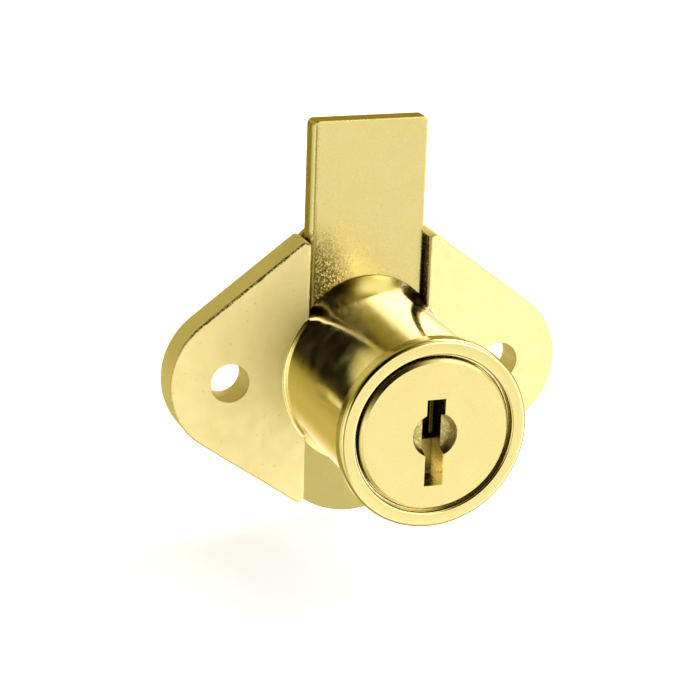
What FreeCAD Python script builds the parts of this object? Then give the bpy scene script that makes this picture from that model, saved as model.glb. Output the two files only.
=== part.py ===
import FreeCAD, Part
import math
import os
import Sketcher

# Drawer lock with a dead bolt, worked by a disc tumbler plug that turns half a turn.
# Frame: the origin is on the barrel axis, in the front plane of the flange.
# X runs along the two screw holes, -Y points out of the barrel mouth, +Z along the bolt.

# Driving dimensions in millimetres and degrees
SIZES = {
    # flange lobes
    "lobe_centre": 17.1,
    "lobe_radius": 10.1,
    "top_slope": 37.0,
    "bottom_slope": 35.0,
    "lobe_corner_radius": 1.0,
    "flange_edge_chamfer": 0.35,
    "screw_spacing": 38.1,
    "screw_hole_diameter": 5.2,
    # barrel and the bridge that carries it across the bolt channel
    "barrel_diameter": 22.9,
    "barrel_length": 24.0,
    "barrel_wall": 3.2,
    "mouth_wall": 1.4,
    "root_chamfer": 0.5,
    "bridge_step": 1.65,
    "bridge_thickness": 1.55,
    # bolt
    "bolt_width": 15.8,
    "bolt_thickness": 2.9,
    "bolt_top": 34.1,
    "bolt_tail": 8.5,
    "bolt_edge_rounding": 0.7,
    "bolt_tip_radius": 0.8,
    "bolt_tail_radius": 4.0,
    "bolt_side_clearance": 0.4,
    "bolt_front_clearance": 0.15,
    "bolt_back_clearance": 0.2,
    # back cover and the cast posts staked over it
    "cover_thickness": 1.2,
    "cover_lap": 3.1,
    "cover_reach": 21.6,
    "cover_edge_chamfer": 0.3,
    "post_diameter": 1.5,
    "post_hole_clearance": 0.05,
    "post_height": 13.0,
    "post_head_diameter": 2.5,
    "post_head_thickness": 0.5,
    # bezel ring pressed over the barrel mouth
    "bezel_overhang": 0.95,
    "bezel_depth": 2.2,
    "bezel_wall": 0.8,
    "bezel_gap": 0.45,
    "bezel_rim_chamfer": 0.5,
    "bezel_lip_chamfer": 0.35,
    "bezel_tail_chamfer": 0.3,
    "bezel_press_clearance": 0.02,
    # plug
    "plug_running_clearance": 0.05,
    "plug_end_clearance": 0.05,
    "head_thickness": 2.3,
    "head_proud": 0.2,
    "head_chamfer": 0.4,
    "head_side_clearance": 0.1,
    "dimple_diameter": 5.8,
    "dimple_depth": 1.4,
    "keyway_width": 2.45,
    "keyway_top": 4.7,
    "keyway_bottom": 6.7,
    "keyway_past_discs": 1.2,
    # stop lug under the plug head, and its half ring in the barrel
    "lug_height": 1.1,
    "lug_depth": 1.2,
    "lug_angle": 24.0,
    "lug_clearance": 0.1,
    "lug_end_angle": 2.0,
    "key_turn": 180.0,
    # disc tumblers
    "first_disc": 2.4,
    "disc_pitch": 2.5,
    "disc_thickness": 1.0,
    "disc_face_clearance": 0.1,
    "disc_width": 8.0,
    "disc_side_clearance": 0.06,
    "disc_end_clearance": 0.05,
    "disc_travel": 0.8,
    "groove_clearance": 0.15,
    "window_side_clearance": 0.225,
    "window_top_clearance": 0.5,
    "window_floor_step": 1.1,
    "key_cut_step": 0.6,
    "wing_width": 1.9,
    "wing_height": 1.5,
    # disc springs
    "spring_diameter": 1.1,
    "spring_bore": 0.6,
    "spring_length": 3.6,
    "spring_side_gap": 0.35,
    # retainer that keeps the plug in the barrel
    "retainer_gap": 2.6,
    "retainer_width": 4.0,
    "retainer_thickness": 1.0,
    "retainer_clearance": 0.1,
    "retainer_reach": 0.8,
    "retainer_foot": 3.4,
    "retainer_edge_gap": 0.2,
    "retainer_spring_length": 2.6,
    # drive pin pressed into the back of the plug
    "pin_diameter": 2.8,
    "pin_throw": 4.76,
    "pin_embedded": 2.4,
    "pin_end_gap": 0.4,
    "pin_slot_clearance": 0.15,
    "pin_wave": 0.22,
    "pin_slot_corner": 1.0,
}

# Depth of the key cut under each disc tumbler, from the front, in steps
KEY_CUTS = (6, 3, 4, 2, 5, 3)
DISC_COUNT = len(KEY_CUTS)

# How far a cut runs past the faces that it opens
CUT_MARGIN = "1"

# Share of a staked head's thickness that its chamfer takes
CROWN_SHARE = "0.7"

doc = FreeCAD.newDocument("drawer_lock")
sheet = doc.addObject("Spreadsheet::Sheet", "sizes")
for row, (alias, size) in enumerate(SIZES.items(), start=1):
    sheet.set(f"A{row}", alias)
    sheet.set(f"B{row}", str(size))
    sheet.setAlias(f"B{row}", alias)
doc.recompute()

# Places along the barrel axis, worked out from the sheet
BEZEL_FRONT = "(sizes.barrel_length + sizes.bezel_wall)"
HEAD_FRONT = f"({BEZEL_FRONT} + sizes.head_proud)"
HEAD_BACK = f"({HEAD_FRONT} - sizes.head_thickness)"
PLUG_END = "(sizes.bridge_thickness - sizes.plug_end_clearance)"
BOLT_FRONT = "(sizes.bridge_thickness + sizes.bolt_front_clearance)"
FLANGE_BACK = f"({BOLT_FRONT} + sizes.bolt_thickness + sizes.bolt_back_clearance)"
COVER_BACK = f"({FLANGE_BACK} + sizes.cover_thickness)"
FIRST_DISC = f"({HEAD_BACK} - sizes.first_disc)"
LAST_DISC = f"({FIRST_DISC} - {DISC_COUNT - 1} * sizes.disc_pitch)"
DISC_SLOT = "(sizes.disc_thickness + 2 * sizes.disc_face_clearance)"
KEYWAY_END = f"({LAST_DISC} - sizes.disc_thickness / 2 - sizes.keyway_past_discs)"
RETAINER_PLACE = f"({LAST_DISC} - sizes.disc_thickness / 2 - sizes.retainer_gap)"
RETAINER_SLOT = "(sizes.retainer_thickness + 2 * sizes.retainer_clearance)"

# Radii and half widths that more than one piece shares
BARREL_RADIUS = "(sizes.barrel_diameter / 2)"
BRIDGE_RADIUS = f"({BARREL_RADIUS} + sizes.bridge_step)"
BEZEL_RADIUS = f"({BARREL_RADIUS} + sizes.bezel_overhang)"
BORE_RADIUS = f"({BARREL_RADIUS} - sizes.barrel_wall)"
PLUG_RADIUS = f"({BORE_RADIUS} - sizes.plug_running_clearance)"
HEAD_SEAT_RADIUS = f"({BARREL_RADIUS} - sizes.mouth_wall)"
HEAD_RADIUS = f"({HEAD_SEAT_RADIUS} - sizes.head_side_clearance)"
BEZEL_OPENING = f"({HEAD_RADIUS} + sizes.bezel_gap)"
CHANNEL_HALF = "(sizes.bolt_width / 2 + sizes.bolt_side_clearance)"
COVER_RADIUS = f"({CHANNEL_HALF} + sizes.cover_lap)"
POST_PLACE = f"({CHANNEL_HALF} + sizes.cover_lap / 2)"
DISC_RADIUS = f"({PLUG_RADIUS} - sizes.disc_end_clearance)"
DISC_HALF = "(sizes.disc_width / 2)"
DISC_SLOT_HALF = f"({DISC_HALF} + sizes.disc_side_clearance)"
WING_END = f"({DISC_HALF} + sizes.wing_width)"
SPRING_PLACE = f"({DISC_HALF} + sizes.spring_side_gap + sizes.spring_diameter / 2)"
RETAINER_TOP = f"({PLUG_RADIUS} + sizes.retainer_reach)"
RETAINER_GROOVE = f"({RETAINER_TOP} + sizes.retainer_edge_gap)"
LUG_RADIUS = f"({PLUG_RADIUS} + sizes.lug_height)"
PIN_RADIUS = "(sizes.pin_diameter / 2)"


def number(expression):
    """Value of an expression on the sheet."""
    value = sheet.evalExpression(expression)
    return float(getattr(value, "Value", value))


def new_body(label):
    """Empty body whose label is the name of its node."""
    body = doc.addObject("PartDesign::Body", label)
    body.Label = label
    return body


def new_sketch(body, name, role, offset="0"):
    """Sketch on an origin plane of the body, moved along the plane's normal by offset."""
    sketch = body.newObject("Sketcher::SketchObject", name)
    plane = [feature for feature in body.Origin.OriginFeatures if feature.Role == role][0]
    sketch.AttachmentSupport = (plane, [""])
    sketch.MapMode = "FlatFace"
    sketch.setExpression("AttachmentOffset.Base.z", offset)
    return sketch


def bind(sketch, constraint, expression):
    """Add a dimension to the sketch and tie it to the sheet."""
    index = sketch.addConstraint(constraint)
    sketch.setExpression(f"Constraints[{index}]", expression)


def fix_point(sketch, geometry, end, place):
    """Dimension one point of the sketch from its origin; place is a pair of expressions."""
    for kind, expression in zip(("DistanceX", "DistanceY"), place):
        if expression == "0":
            axis = -2 if kind == "DistanceX" else -1
            sketch.addConstraint(Sketcher.Constraint("PointOnObject", geometry, end, axis))
        else:
            constraint = Sketcher.Constraint(kind, -1, 1, geometry, end, number(expression))
            bind(sketch, constraint, expression)


def draw_outline(sketch, corners, arcs=None):
    """Closed outline through corners, counter-clockwise.

    arcs gives, for the edge that leaves corner i, its radius, its centre and True
    where the edge bulges outwards. The other edges are straight.
    """
    arcs = arcs or {}
    points = [FreeCAD.Vector(number(x), number(y), 0) for x, y in corners]
    ends = []
    for index, start in enumerate(points):
        finish = points[(index + 1) % len(points)]
        if index not in arcs:
            geometry = sketch.addGeometry(Part.LineSegment(start, finish), False)
            ends.append((geometry, 1, 2))
            continue
        radius, centre, outwards = arcs[index]
        middle = FreeCAD.Vector(number(centre[0]), number(centre[1]), 0)
        first, last = (start, finish) if outwards else (finish, start)
        low = math.atan2(first.y - middle.y, first.x - middle.x)
        high = math.atan2(last.y - middle.y, last.x - middle.x)
        if high <= low:
            high += 2 * math.pi
        circle = Part.Circle(middle, FreeCAD.Vector(0, 0, 1), number(radius))
        geometry = sketch.addGeometry(Part.ArcOfCircle(circle, low, high), False)
        ends.append((geometry, 1, 2) if outwards else (geometry, 2, 1))
    for index, (geometry, start, finish) in enumerate(ends):
        following, next_start, _ = ends[(index + 1) % len(ends)]
        sketch.addConstraint(
            Sketcher.Constraint("Coincident", geometry, finish, following, next_start))
    for index, (geometry, start, finish) in enumerate(ends):
        fix_point(sketch, geometry, start, corners[index])
        if index in arcs:
            radius = arcs[index][0]
            bind(sketch, Sketcher.Constraint("Radius", geometry, number(radius)), radius)


def draw_rectangle(sketch, low, high):
    """Rectangle between two corners, each a pair of expressions."""
    draw_outline(sketch, [low, (high[0], low[1]), high, (low[0], high[1])])


def draw_circle(sketch, radius, centre=("0", "0")):
    """Circle with its radius and centre tied to the sheet."""
    middle = FreeCAD.Vector(number(centre[0]), number(centre[1]), 0)
    circle = Part.Circle(middle, FreeCAD.Vector(0, 0, 1), number(radius))
    geometry = sketch.addGeometry(circle, False)
    bind(sketch, Sketcher.Constraint("Radius", geometry, number(radius)), radius)
    fix_point(sketch, geometry, 3, centre)


def extrude(body, kind, sketch, length, reverse=False, midplane=False):
    """Pad or Pocket of a sketch; on an XZ sketch a pad grows to -Y and a pocket cuts to +Y."""
    feature = body.newObject(f"PartDesign::{kind}", f"{sketch.Name}_{kind.lower()}")
    feature.Profile = sketch
    feature.Reversed = reverse
    feature.Midplane = midplane
    feature.setExpression("Length", length)
    doc.recompute()
    return feature


def turn(body, kind, sketch, axis="V_Axis"):
    """Revolution or Groove of a sketch, a full turn about one of the sketch's axes."""
    feature = body.newObject(f"PartDesign::{kind}", f"{sketch.Name}_{kind.lower()}")
    feature.Profile = sketch
    feature.ReferenceAxis = (sketch, [axis])
    feature.Angle = 360
    doc.recompute()
    return feature


def dress_edges(body, kind, name, size, wanted):
    """Fillet or Chamfer on the edges of the body's last feature that the test picks out."""
    base = body.Tip
    edges = [f"Edge{i}" for i, edge in enumerate(base.Shape.Edges, start=1) if wanted(edge)]
    if not edges:
        raise ValueError(f"{body.Label}: no edge found for {name}")
    dressing = body.newObject(f"PartDesign::{kind}", name)
    dressing.Base = (base, edges)
    dressing.setExpression("Radius" if kind == "Fillet" else "Size", size)
    body.Tip = dressing
    doc.recompute()


def mirror(body, features, role):
    """Mirror features of the body in one of its origin planes."""
    mirrored = body.newObject("PartDesign::Mirrored", f"{features[-1].Name}_mirrored")
    mirrored.Originals = features
    plane = [feature for feature in body.Origin.OriginFeatures if feature.Role == role][0]
    mirrored.MirrorPlane = (plane, [""])
    body.Tip = mirrored
    doc.recompute()
    return mirrored


def near(value, target, tolerance=0.01):
    """True where two lengths are the same."""
    return abs(value - target) < tolerance


def all_points(edge, test):
    """True where every vertex of the edge passes the test."""
    return all(test(vertex.Point) for vertex in edge.Vertexes)


def turned_barrel(body):
    """Barrel and bridge as one turned form, with a small cone where they meet."""
    sketch = new_sketch(body, "barrel_profile", "XY_Plane")
    draw_outline(
        sketch,
        [
            ("0", "-sizes.barrel_length"),
            (BARREL_RADIUS, "-sizes.barrel_length"),
            (BARREL_RADIUS, "-sizes.root_chamfer"),
            (f"{BARREL_RADIUS} + sizes.root_chamfer", "0"),
            (BRIDGE_RADIUS, "0"),
            (BRIDGE_RADIUS, "sizes.bridge_thickness"),
            ("0", "sizes.bridge_thickness"),
        ],
    )
    turn(body, "Revolution", sketch)


def flange_lobes(body):
    """Two lobes beside the bolt channel: a corner round with a tangent edge above and below."""
    sketch = new_sketch(body, "lobe_outline", "XZ_Plane")
    top = "sizes.top_slope"
    bottom = "sizes.bottom_slope"
    across = f"(sizes.lobe_centre - {CHANNEL_HALF})"
    top_end = f"(sizes.lobe_radius + {across} * sin({top})) / cos({top})"
    bottom_end = f"-(sizes.lobe_radius + {across} * sin({bottom})) / cos({bottom})"
    draw_outline(
        sketch,
        [
            (CHANNEL_HALF, top_end),
            (CHANNEL_HALF, bottom_end),
            (
                f"sizes.lobe_centre + sizes.lobe_radius * sin({bottom})",
                f"-sizes.lobe_radius * cos({bottom})",
            ),
            (
                f"sizes.lobe_centre + sizes.lobe_radius * sin({top})",
                f"sizes.lobe_radius * cos({top})",
            ),
        ],
        {2: ("sizes.lobe_radius", ("sizes.lobe_centre", "0"), True)},
    )
    pad = extrude(body, "Pad", sketch, FLANGE_BACK, reverse=True)
    half = number(CHANNEL_HALF)
    thickness = number(FLANGE_BACK)
    dress_edges(
        body, "Fillet", "lobe_corners", "sizes.lobe_corner_radius",
        lambda edge: near(edge.Length, thickness)
        and all_points(edge, lambda point: near(point.x, half) and abs(point.z) > half))
    dress_edges(
        body, "Chamfer", "lobe_front_edges", "sizes.flange_edge_chamfer",
        lambda edge: all_points(edge, lambda point: near(point.y, 0))
        and edge.CenterOfMass.x > half and not edge_is_round(edge, BRIDGE_RADIUS))
    mirror(body, [pad, doc.getObject("lobe_corners"), doc.getObject("lobe_front_edges")], "YZ_Plane")


def edge_is_round(edge, radius):
    """True where the edge is an arc of the given radius."""
    curve = edge.Curve
    return isinstance(curve, Part.Circle) and near(curve.Radius, number(radius))


def plug_seat(body):
    """Bore for the plug, with the head's seat in front and the retainer's ring groove."""
    sketch = new_sketch(body, "bore_profile", "XY_Plane")
    mouth = f"-(sizes.barrel_length + {CUT_MARGIN})"
    seat = f"-({HEAD_BACK} - sizes.plug_end_clearance)"
    behind = f"(sizes.bridge_thickness + {CUT_MARGIN})"
    draw_outline(
        sketch,
        [
            ("0", mouth),
            (HEAD_SEAT_RADIUS, mouth),
            (HEAD_SEAT_RADIUS, seat),
            (BORE_RADIUS, seat),
            (BORE_RADIUS, f"-({RETAINER_PLACE} + {RETAINER_SLOT} / 2)"),
            (RETAINER_GROOVE, f"-({RETAINER_PLACE} + {RETAINER_SLOT} / 2)"),
            (RETAINER_GROOVE, f"-({RETAINER_PLACE} - {RETAINER_SLOT} / 2)"),
            (BORE_RADIUS, f"-({RETAINER_PLACE} - {RETAINER_SLOT} / 2)"),
            (BORE_RADIUS, behind),
            ("0", behind),
        ],
    )
    turn(body, "Groove", sketch)


def tumbler_grooves(body):
    """Grooves above and below the plug that the disc tumblers spring into."""
    sketch = new_sketch(body, "groove_section", "XZ_Plane", HEAD_BACK)
    half = f"({DISC_HALF} + sizes.groove_clearance)"
    reach = f"({DISC_RADIUS} + sizes.disc_travel + sizes.groove_clearance)"
    draw_rectangle(sketch, (f"-{half}", f"-{reach}"), (half, reach))
    length = f"({HEAD_BACK} - {LAST_DISC} + {DISC_SLOT} / 2)"
    extrude(body, "Pocket", sketch, length)


def stop_recess(body):
    """Part ring under the head seat, in which the plug's stop lug runs from one end to the other."""
    sketch = new_sketch(body, "stop_recess", "XZ_Plane", HEAD_BACK)
    spare = "(sizes.lug_angle / 2 + sizes.lug_end_angle)"
    radius = f"({LUG_RADIUS} + sizes.lug_clearance)"
    inner = f"({PLUG_RADIUS} - sizes.lug_height)"
    draw_ring_sector(sketch, inner, radius, f"(-sizes.key_turn - {spare})", spare)
    extrude(body, "Pocket", sketch, "sizes.lug_depth + 2 * sizes.lug_clearance")


def draw_ring_sector(sketch, inner, outer, low, high):
    """Sector of a ring about the origin between two angles, as expressions in degrees."""
    draw_outline(
        sketch,
        [
            (f"{outer} * cos({low})", f"{outer} * sin({low})"),
            (f"{outer} * cos({high})", f"{outer} * sin({high})"),
            (f"{inner} * cos({high})", f"{inner} * sin({high})"),
            (f"{inner} * cos({low})", f"{inner} * sin({low})"),
        ],
        {0: (outer, ("0", "0"), True), 2: (inner, ("0", "0"), False)},
    )


def screw_holes(body):
    """Plain holes through the lobes for the two fixing screws."""
    sketch = new_sketch(body, "screw_holes", "XZ_Plane", CUT_MARGIN)
    for side in ("-", ""):
        draw_circle(sketch, "sizes.screw_hole_diameter / 2", (f"{side}sizes.screw_spacing / 2", "0"))
    extrude(body, "Pocket", sketch, f"{FLANGE_BACK} + 2 * {CUT_MARGIN}")


def staked_posts(body):
    """Four cast posts behind the lobes, staked over the back cover."""
    shanks = new_sketch(body, "post_shanks", "XZ_Plane", f"-{FLANGE_BACK} / 2")
    heads = new_sketch(body, "post_heads", "XZ_Plane", f"-{COVER_BACK}")
    for across in (f"-{POST_PLACE}", POST_PLACE):
        for height in ("-sizes.post_height / 2", "sizes.post_height / 2"):
            draw_circle(shanks, "sizes.post_diameter / 2", (across, height))
            draw_circle(heads, "sizes.post_head_diameter / 2", (across, height))
    extrude(body, "Pad", shanks, f"{COVER_BACK} - {FLANGE_BACK} / 2", reverse=True)
    extrude(body, "Pad", heads, "sizes.post_head_thickness", reverse=True)
    back = number(f"{COVER_BACK} + sizes.post_head_thickness")
    dress_edges(
        body, "Chamfer", "post_crowns", f"{CROWN_SHARE} * sizes.post_head_thickness",
        lambda edge: all_points(edge, lambda point: near(point.y, back)))


def build_housing():
    """Die cast housing: barrel, bridge, two lobes and everything cut into them."""
    body = new_body("housing")
    turned_barrel(body)
    flange_lobes(body)
    plug_seat(body)
    tumbler_grooves(body)
    stop_recess(body)
    screw_holes(body)
    staked_posts(body)
    return body


def build_bezel_ring():
    """Pressed ring that wraps the barrel mouth, with its rim, lip and tail broken."""
    body = new_body("bezel_ring")
    sketch = new_sketch(body, "ring_profile", "XY_Plane")
    press = f"({BARREL_RADIUS} + sizes.bezel_press_clearance)"
    back = f"({BEZEL_FRONT} - sizes.bezel_depth)"
    rim = "sizes.bezel_rim_chamfer"
    lip = "sizes.bezel_lip_chamfer"
    tail = "sizes.bezel_tail_chamfer"
    draw_outline(
        sketch,
        [
            (f"{BEZEL_OPENING} + {lip}", f"-{BEZEL_FRONT}"),
            (f"{BEZEL_RADIUS} - {rim}", f"-{BEZEL_FRONT}"),
            (BEZEL_RADIUS, f"-({BEZEL_FRONT} - {rim})"),
            (BEZEL_RADIUS, f"-({back} + {tail})"),
            (f"{BEZEL_RADIUS} - {tail}", f"-{back}"),
            (press, f"-{back}"),
            (press, "-sizes.barrel_length"),
            (BEZEL_OPENING, "-sizes.barrel_length"),
            (BEZEL_OPENING, f"-({BEZEL_FRONT} - {lip})"),
        ],
    )
    turn(body, "Revolution", sketch)
    return body


def plug_form(body):
    """Head and barrel of the plug as one turned form, with a broken front edge."""
    sketch = new_sketch(body, "plug_profile", "XY_Plane")
    edge = "sizes.head_chamfer"
    draw_outline(
        sketch,
        [
            ("0", f"-{HEAD_FRONT}"),
            (f"{HEAD_RADIUS} - {edge}", f"-{HEAD_FRONT}"),
            (HEAD_RADIUS, f"-({HEAD_FRONT} - {edge})"),
            (HEAD_RADIUS, f"-{HEAD_BACK}"),
            (PLUG_RADIUS, f"-{HEAD_BACK}"),
            (PLUG_RADIUS, PLUG_END),
            ("0", PLUG_END),
        ],
    )
    turn(body, "Revolution", sketch)


def stop_lug(body):
    """Lug under the head that ends the plug's travel."""
    sketch = new_sketch(body, "stop_lug", "XZ_Plane", f"({HEAD_BACK} - sizes.lug_depth)")
    inner = f"({PLUG_RADIUS} - sizes.lug_height)"
    draw_ring_sector(sketch, inner, LUG_RADIUS, "(-sizes.lug_angle / 2)", "(sizes.lug_angle / 2)")
    extrude(body, "Pad", sketch, "sizes.lug_depth + sizes.head_thickness / 2")


def keyway(body):
    """Key slot with the round dimple that guides the key's tip."""
    dimple = new_sketch(body, "key_dimple", "XZ_Plane", HEAD_FRONT)
    draw_circle(dimple, "sizes.dimple_diameter / 2")
    extrude(body, "Pocket", dimple, "sizes.dimple_depth")
    slot = new_sketch(body, "keyway", "XZ_Plane", HEAD_FRONT)
    draw_rectangle(
        slot,
        ("-sizes.keyway_width / 2", "-sizes.keyway_bottom"),
        ("sizes.keyway_width / 2", "sizes.keyway_top"),
    )
    extrude(body, "Pocket", slot, f"{HEAD_FRONT} - {KEYWAY_END}")


def disc_slots(body):
    """One slot through the plug for each disc tumbler, with a side pocket for wing and spring."""
    sketch = new_sketch(body, "disc_slot", "XZ_Plane", FIRST_DISC)
    high = f"({PLUG_RADIUS} + {CUT_MARGIN})"
    pocket_side = f"({WING_END} + sizes.disc_side_clearance)"
    draw_outline(
        sketch,
        [
            (f"-{DISC_SLOT_HALF}", f"-{high}"),
            (DISC_SLOT_HALF, f"-{high}"),
            (DISC_SLOT_HALF, "-sizes.spring_length"),
            (pocket_side, "-sizes.spring_length"),
            (pocket_side, high),
            (f"-{DISC_SLOT_HALF}", high),
        ],
    )
    slot = extrude(body, "Pocket", sketch, DISC_SLOT, midplane=True)
    pattern = body.newObject("PartDesign::LinearPattern", "disc_slots")
    pattern.Originals = [slot]
    y_axis = [feature for feature in body.Origin.OriginFeatures if feature.Role == "Y_Axis"][0]
    pattern.Direction = (y_axis, [""])
    pattern.Occurrences = DISC_COUNT
    pattern.setExpression("Length", f"{DISC_COUNT - 1} * sizes.disc_pitch")
    body.Tip = pattern
    doc.recompute()


def retainer_slot(body):
    """Blind slot for the retainer and its spring."""
    sketch = new_sketch(body, "retainer_slot", "XZ_Plane", RETAINER_PLACE)
    half = "(sizes.retainer_width / 2 + sizes.retainer_clearance)"
    foot = "(sizes.retainer_foot - sizes.retainer_spring_length)"
    draw_rectangle(sketch, (f"-{half}", foot), (half, f"{PLUG_RADIUS} + {CUT_MARGIN}"))
    extrude(body, "Pocket", sketch, RETAINER_SLOT, midplane=True)


def pin_hole(body):
    """Blind hole in the back of the plug for the drive pin."""
    sketch = new_sketch(body, "pin_hole", "XZ_Plane", f"-({PLUG_END} - sizes.pin_embedded)")
    draw_circle(sketch, PIN_RADIUS, ("0", "sizes.pin_throw"))
    extrude(body, "Pocket", sketch, f"sizes.pin_embedded + {CUT_MARGIN}")


def build_plug():
    """Die cast plug that the key turns."""
    body = new_body("plug")
    plug_form(body)
    stop_lug(body)
    keyway(body)
    disc_slots(body)
    retainer_slot(body)
    pin_hole(body)
    return body


def build_disc_tumbler(index, cut):
    """Stamped disc tumbler, drawn in flush with the plug as the right key holds it."""
    body = new_body(f"disc_tumbler_{index + 1}")
    place = f"({FIRST_DISC} - {index} * sizes.disc_pitch)"
    outline = new_sketch(body, f"disc_outline_{index + 1}", "XZ_Plane", place)
    shoulder = f"sqrt({DISC_RADIUS} * {DISC_RADIUS} - {DISC_HALF} * {DISC_HALF})"
    draw_outline(
        outline,
        [
            (f"-{DISC_HALF}", f"-{shoulder}"),
            (DISC_HALF, f"-{shoulder}"),
            (DISC_HALF, "0"),
            (WING_END, "0"),
            (WING_END, "sizes.wing_height"),
            (DISC_HALF, "sizes.wing_height"),
            (DISC_HALF, shoulder),
            (f"-{DISC_HALF}", shoulder),
        ],
        {0: (DISC_RADIUS, ("0", "0"), True), 6: (DISC_RADIUS, ("0", "0"), True)},
    )
    extrude(body, "Pad", outline, "sizes.disc_thickness", midplane=True)
    window = new_sketch(body, f"key_window_{index + 1}", "XZ_Plane", place)
    half = "(sizes.keyway_width / 2 + sizes.window_side_clearance)"
    floor = "(sizes.window_floor_step - sizes.keyway_bottom)"
    draw_rectangle(
        window,
        (f"-{half}", f"{floor} + {cut} * sizes.key_cut_step"),
        (half, "sizes.keyway_top + sizes.window_top_clearance"),
    )
    extrude(body, "Pocket", window, "2 * sizes.disc_thickness", midplane=True)
    return body


def build_spring(label, length, across, place, foot):
    """Small compression spring along Z, as the sleeve that its close coils fill."""
    tube = doc.addObject("Part::Cylinder", f"{label}_outside")
    tube.setExpression("Radius", "sizes.spring_diameter / 2")
    tube.setExpression("Height", length)
    hole = doc.addObject("Part::Cylinder", f"{label}_inside")
    hole.setExpression("Radius", "sizes.spring_bore / 2")
    hole.setExpression("Height", length)
    spring = doc.addObject("Part::Cut", label)
    spring.Base = tube
    spring.Tool = hole
    spring.Label = label
    spring.setExpression("Placement.Base.x", across)
    spring.setExpression("Placement.Base.y", f"-{place}")
    spring.setExpression("Placement.Base.z", foot)
    doc.recompute()
    return spring


def build_retainer():
    """Spring-loaded plate that stands in the barrel's ring groove and holds the plug in."""
    body = new_body("plug_retainer")
    sketch = new_sketch(body, "retainer_outline", "XZ_Plane", RETAINER_PLACE)
    half = "(sizes.retainer_width / 2)"
    shoulder = f"sqrt({RETAINER_TOP} * {RETAINER_TOP} - {half} * {half})"
    draw_outline(
        sketch,
        [
            (f"-{half}", "sizes.retainer_foot"),
            (half, "sizes.retainer_foot"),
            (half, shoulder),
            (f"-{half}", shoulder),
        ],
        {2: (RETAINER_TOP, ("0", "0"), True)},
    )
    extrude(body, "Pad", sketch, "sizes.retainer_thickness", midplane=True)
    return body


def build_drive_pin():
    """Steel pin, off the axis, that carries the bolt up and down."""
    body = new_body("drive_pin")
    start = f"-({PLUG_END} - sizes.pin_embedded)"
    sketch = new_sketch(body, "pin_section", "XZ_Plane", start)
    draw_circle(sketch, PIN_RADIUS, ("0", "sizes.pin_throw"))
    length = f"{FLANGE_BACK} - sizes.pin_end_gap - ({PLUG_END} - sizes.pin_embedded)"
    extrude(body, "Pad", sketch, length, reverse=True)
    return body


def build_bolt():
    """Flat dead bolt with a cross slot for the drive pin."""
    body = new_body("bolt")
    sketch = new_sketch(body, "bolt_outline", "XZ_Plane", f"-{BOLT_FRONT}")
    half = "(sizes.bolt_width / 2)"
    tip = "sizes.bolt_tip_radius"
    tail = "sizes.bolt_tail_radius"
    bottom = "-sizes.bolt_tail"
    draw_outline(
        sketch,
        [
            (f"-{half} + {tail}", bottom),
            (f"{half} - {tail}", bottom),
            (half, f"{bottom} + {tail}"),
            (half, f"sizes.bolt_top - {tip}"),
            (f"{half} - {tip}", "sizes.bolt_top"),
            (f"-{half} + {tip}", "sizes.bolt_top"),
            (f"-{half}", f"sizes.bolt_top - {tip}"),
            (f"-{half}", f"{bottom} + {tail}"),
        ],
        {
            1: (tail, (f"{half} - {tail}", f"{bottom} + {tail}"), True),
            3: (tip, (f"{half} - {tip}", f"sizes.bolt_top - {tip}"), True),
            5: (tip, (f"-{half} + {tip}", f"sizes.bolt_top - {tip}"), True),
            7: (tail, (f"-{half} + {tail}", f"{bottom} + {tail}"), True),
        },
    )
    extrude(body, "Pad", sketch, "sizes.bolt_thickness", reverse=True)
    front = number(BOLT_FRONT)
    side = number(half)
    dress_edges(
        body, "Fillet", "bolt_front_edges", "sizes.bolt_edge_rounding",
        lambda edge: all_points(edge, lambda point: near(point.y, front) and near(abs(point.x), side)))
    pin_slot(body)
    return body


def pin_slot(body):
    """Cross slot, tall enough for the pin's arc beside the bolt's even travel."""
    sketch = new_sketch(body, "pin_slot", "XZ_Plane", f"-({BOLT_FRONT} - {CUT_MARGIN})")
    room = f"({PIN_RADIUS} + sizes.pin_slot_clearance)"
    reach = f"(sizes.pin_throw + {room})"
    rise = f"({room} + sizes.pin_wave * sizes.pin_throw)"
    draw_rectangle(
        sketch,
        (f"-{reach}", f"sizes.pin_throw - {rise}"),
        (reach, f"sizes.pin_throw + {rise}"),
    )
    extrude(body, "Pocket", sketch, f"sizes.bolt_thickness + 2 * {CUT_MARGIN}")
    depth = number("sizes.bolt_thickness")
    half = number(reach)
    dress_edges(
        body, "Fillet", "pin_slot_corners", "sizes.pin_slot_corner",
        lambda edge: near(edge.Length, depth)
        and all_points(edge, lambda point: near(abs(point.x), half)))


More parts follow.
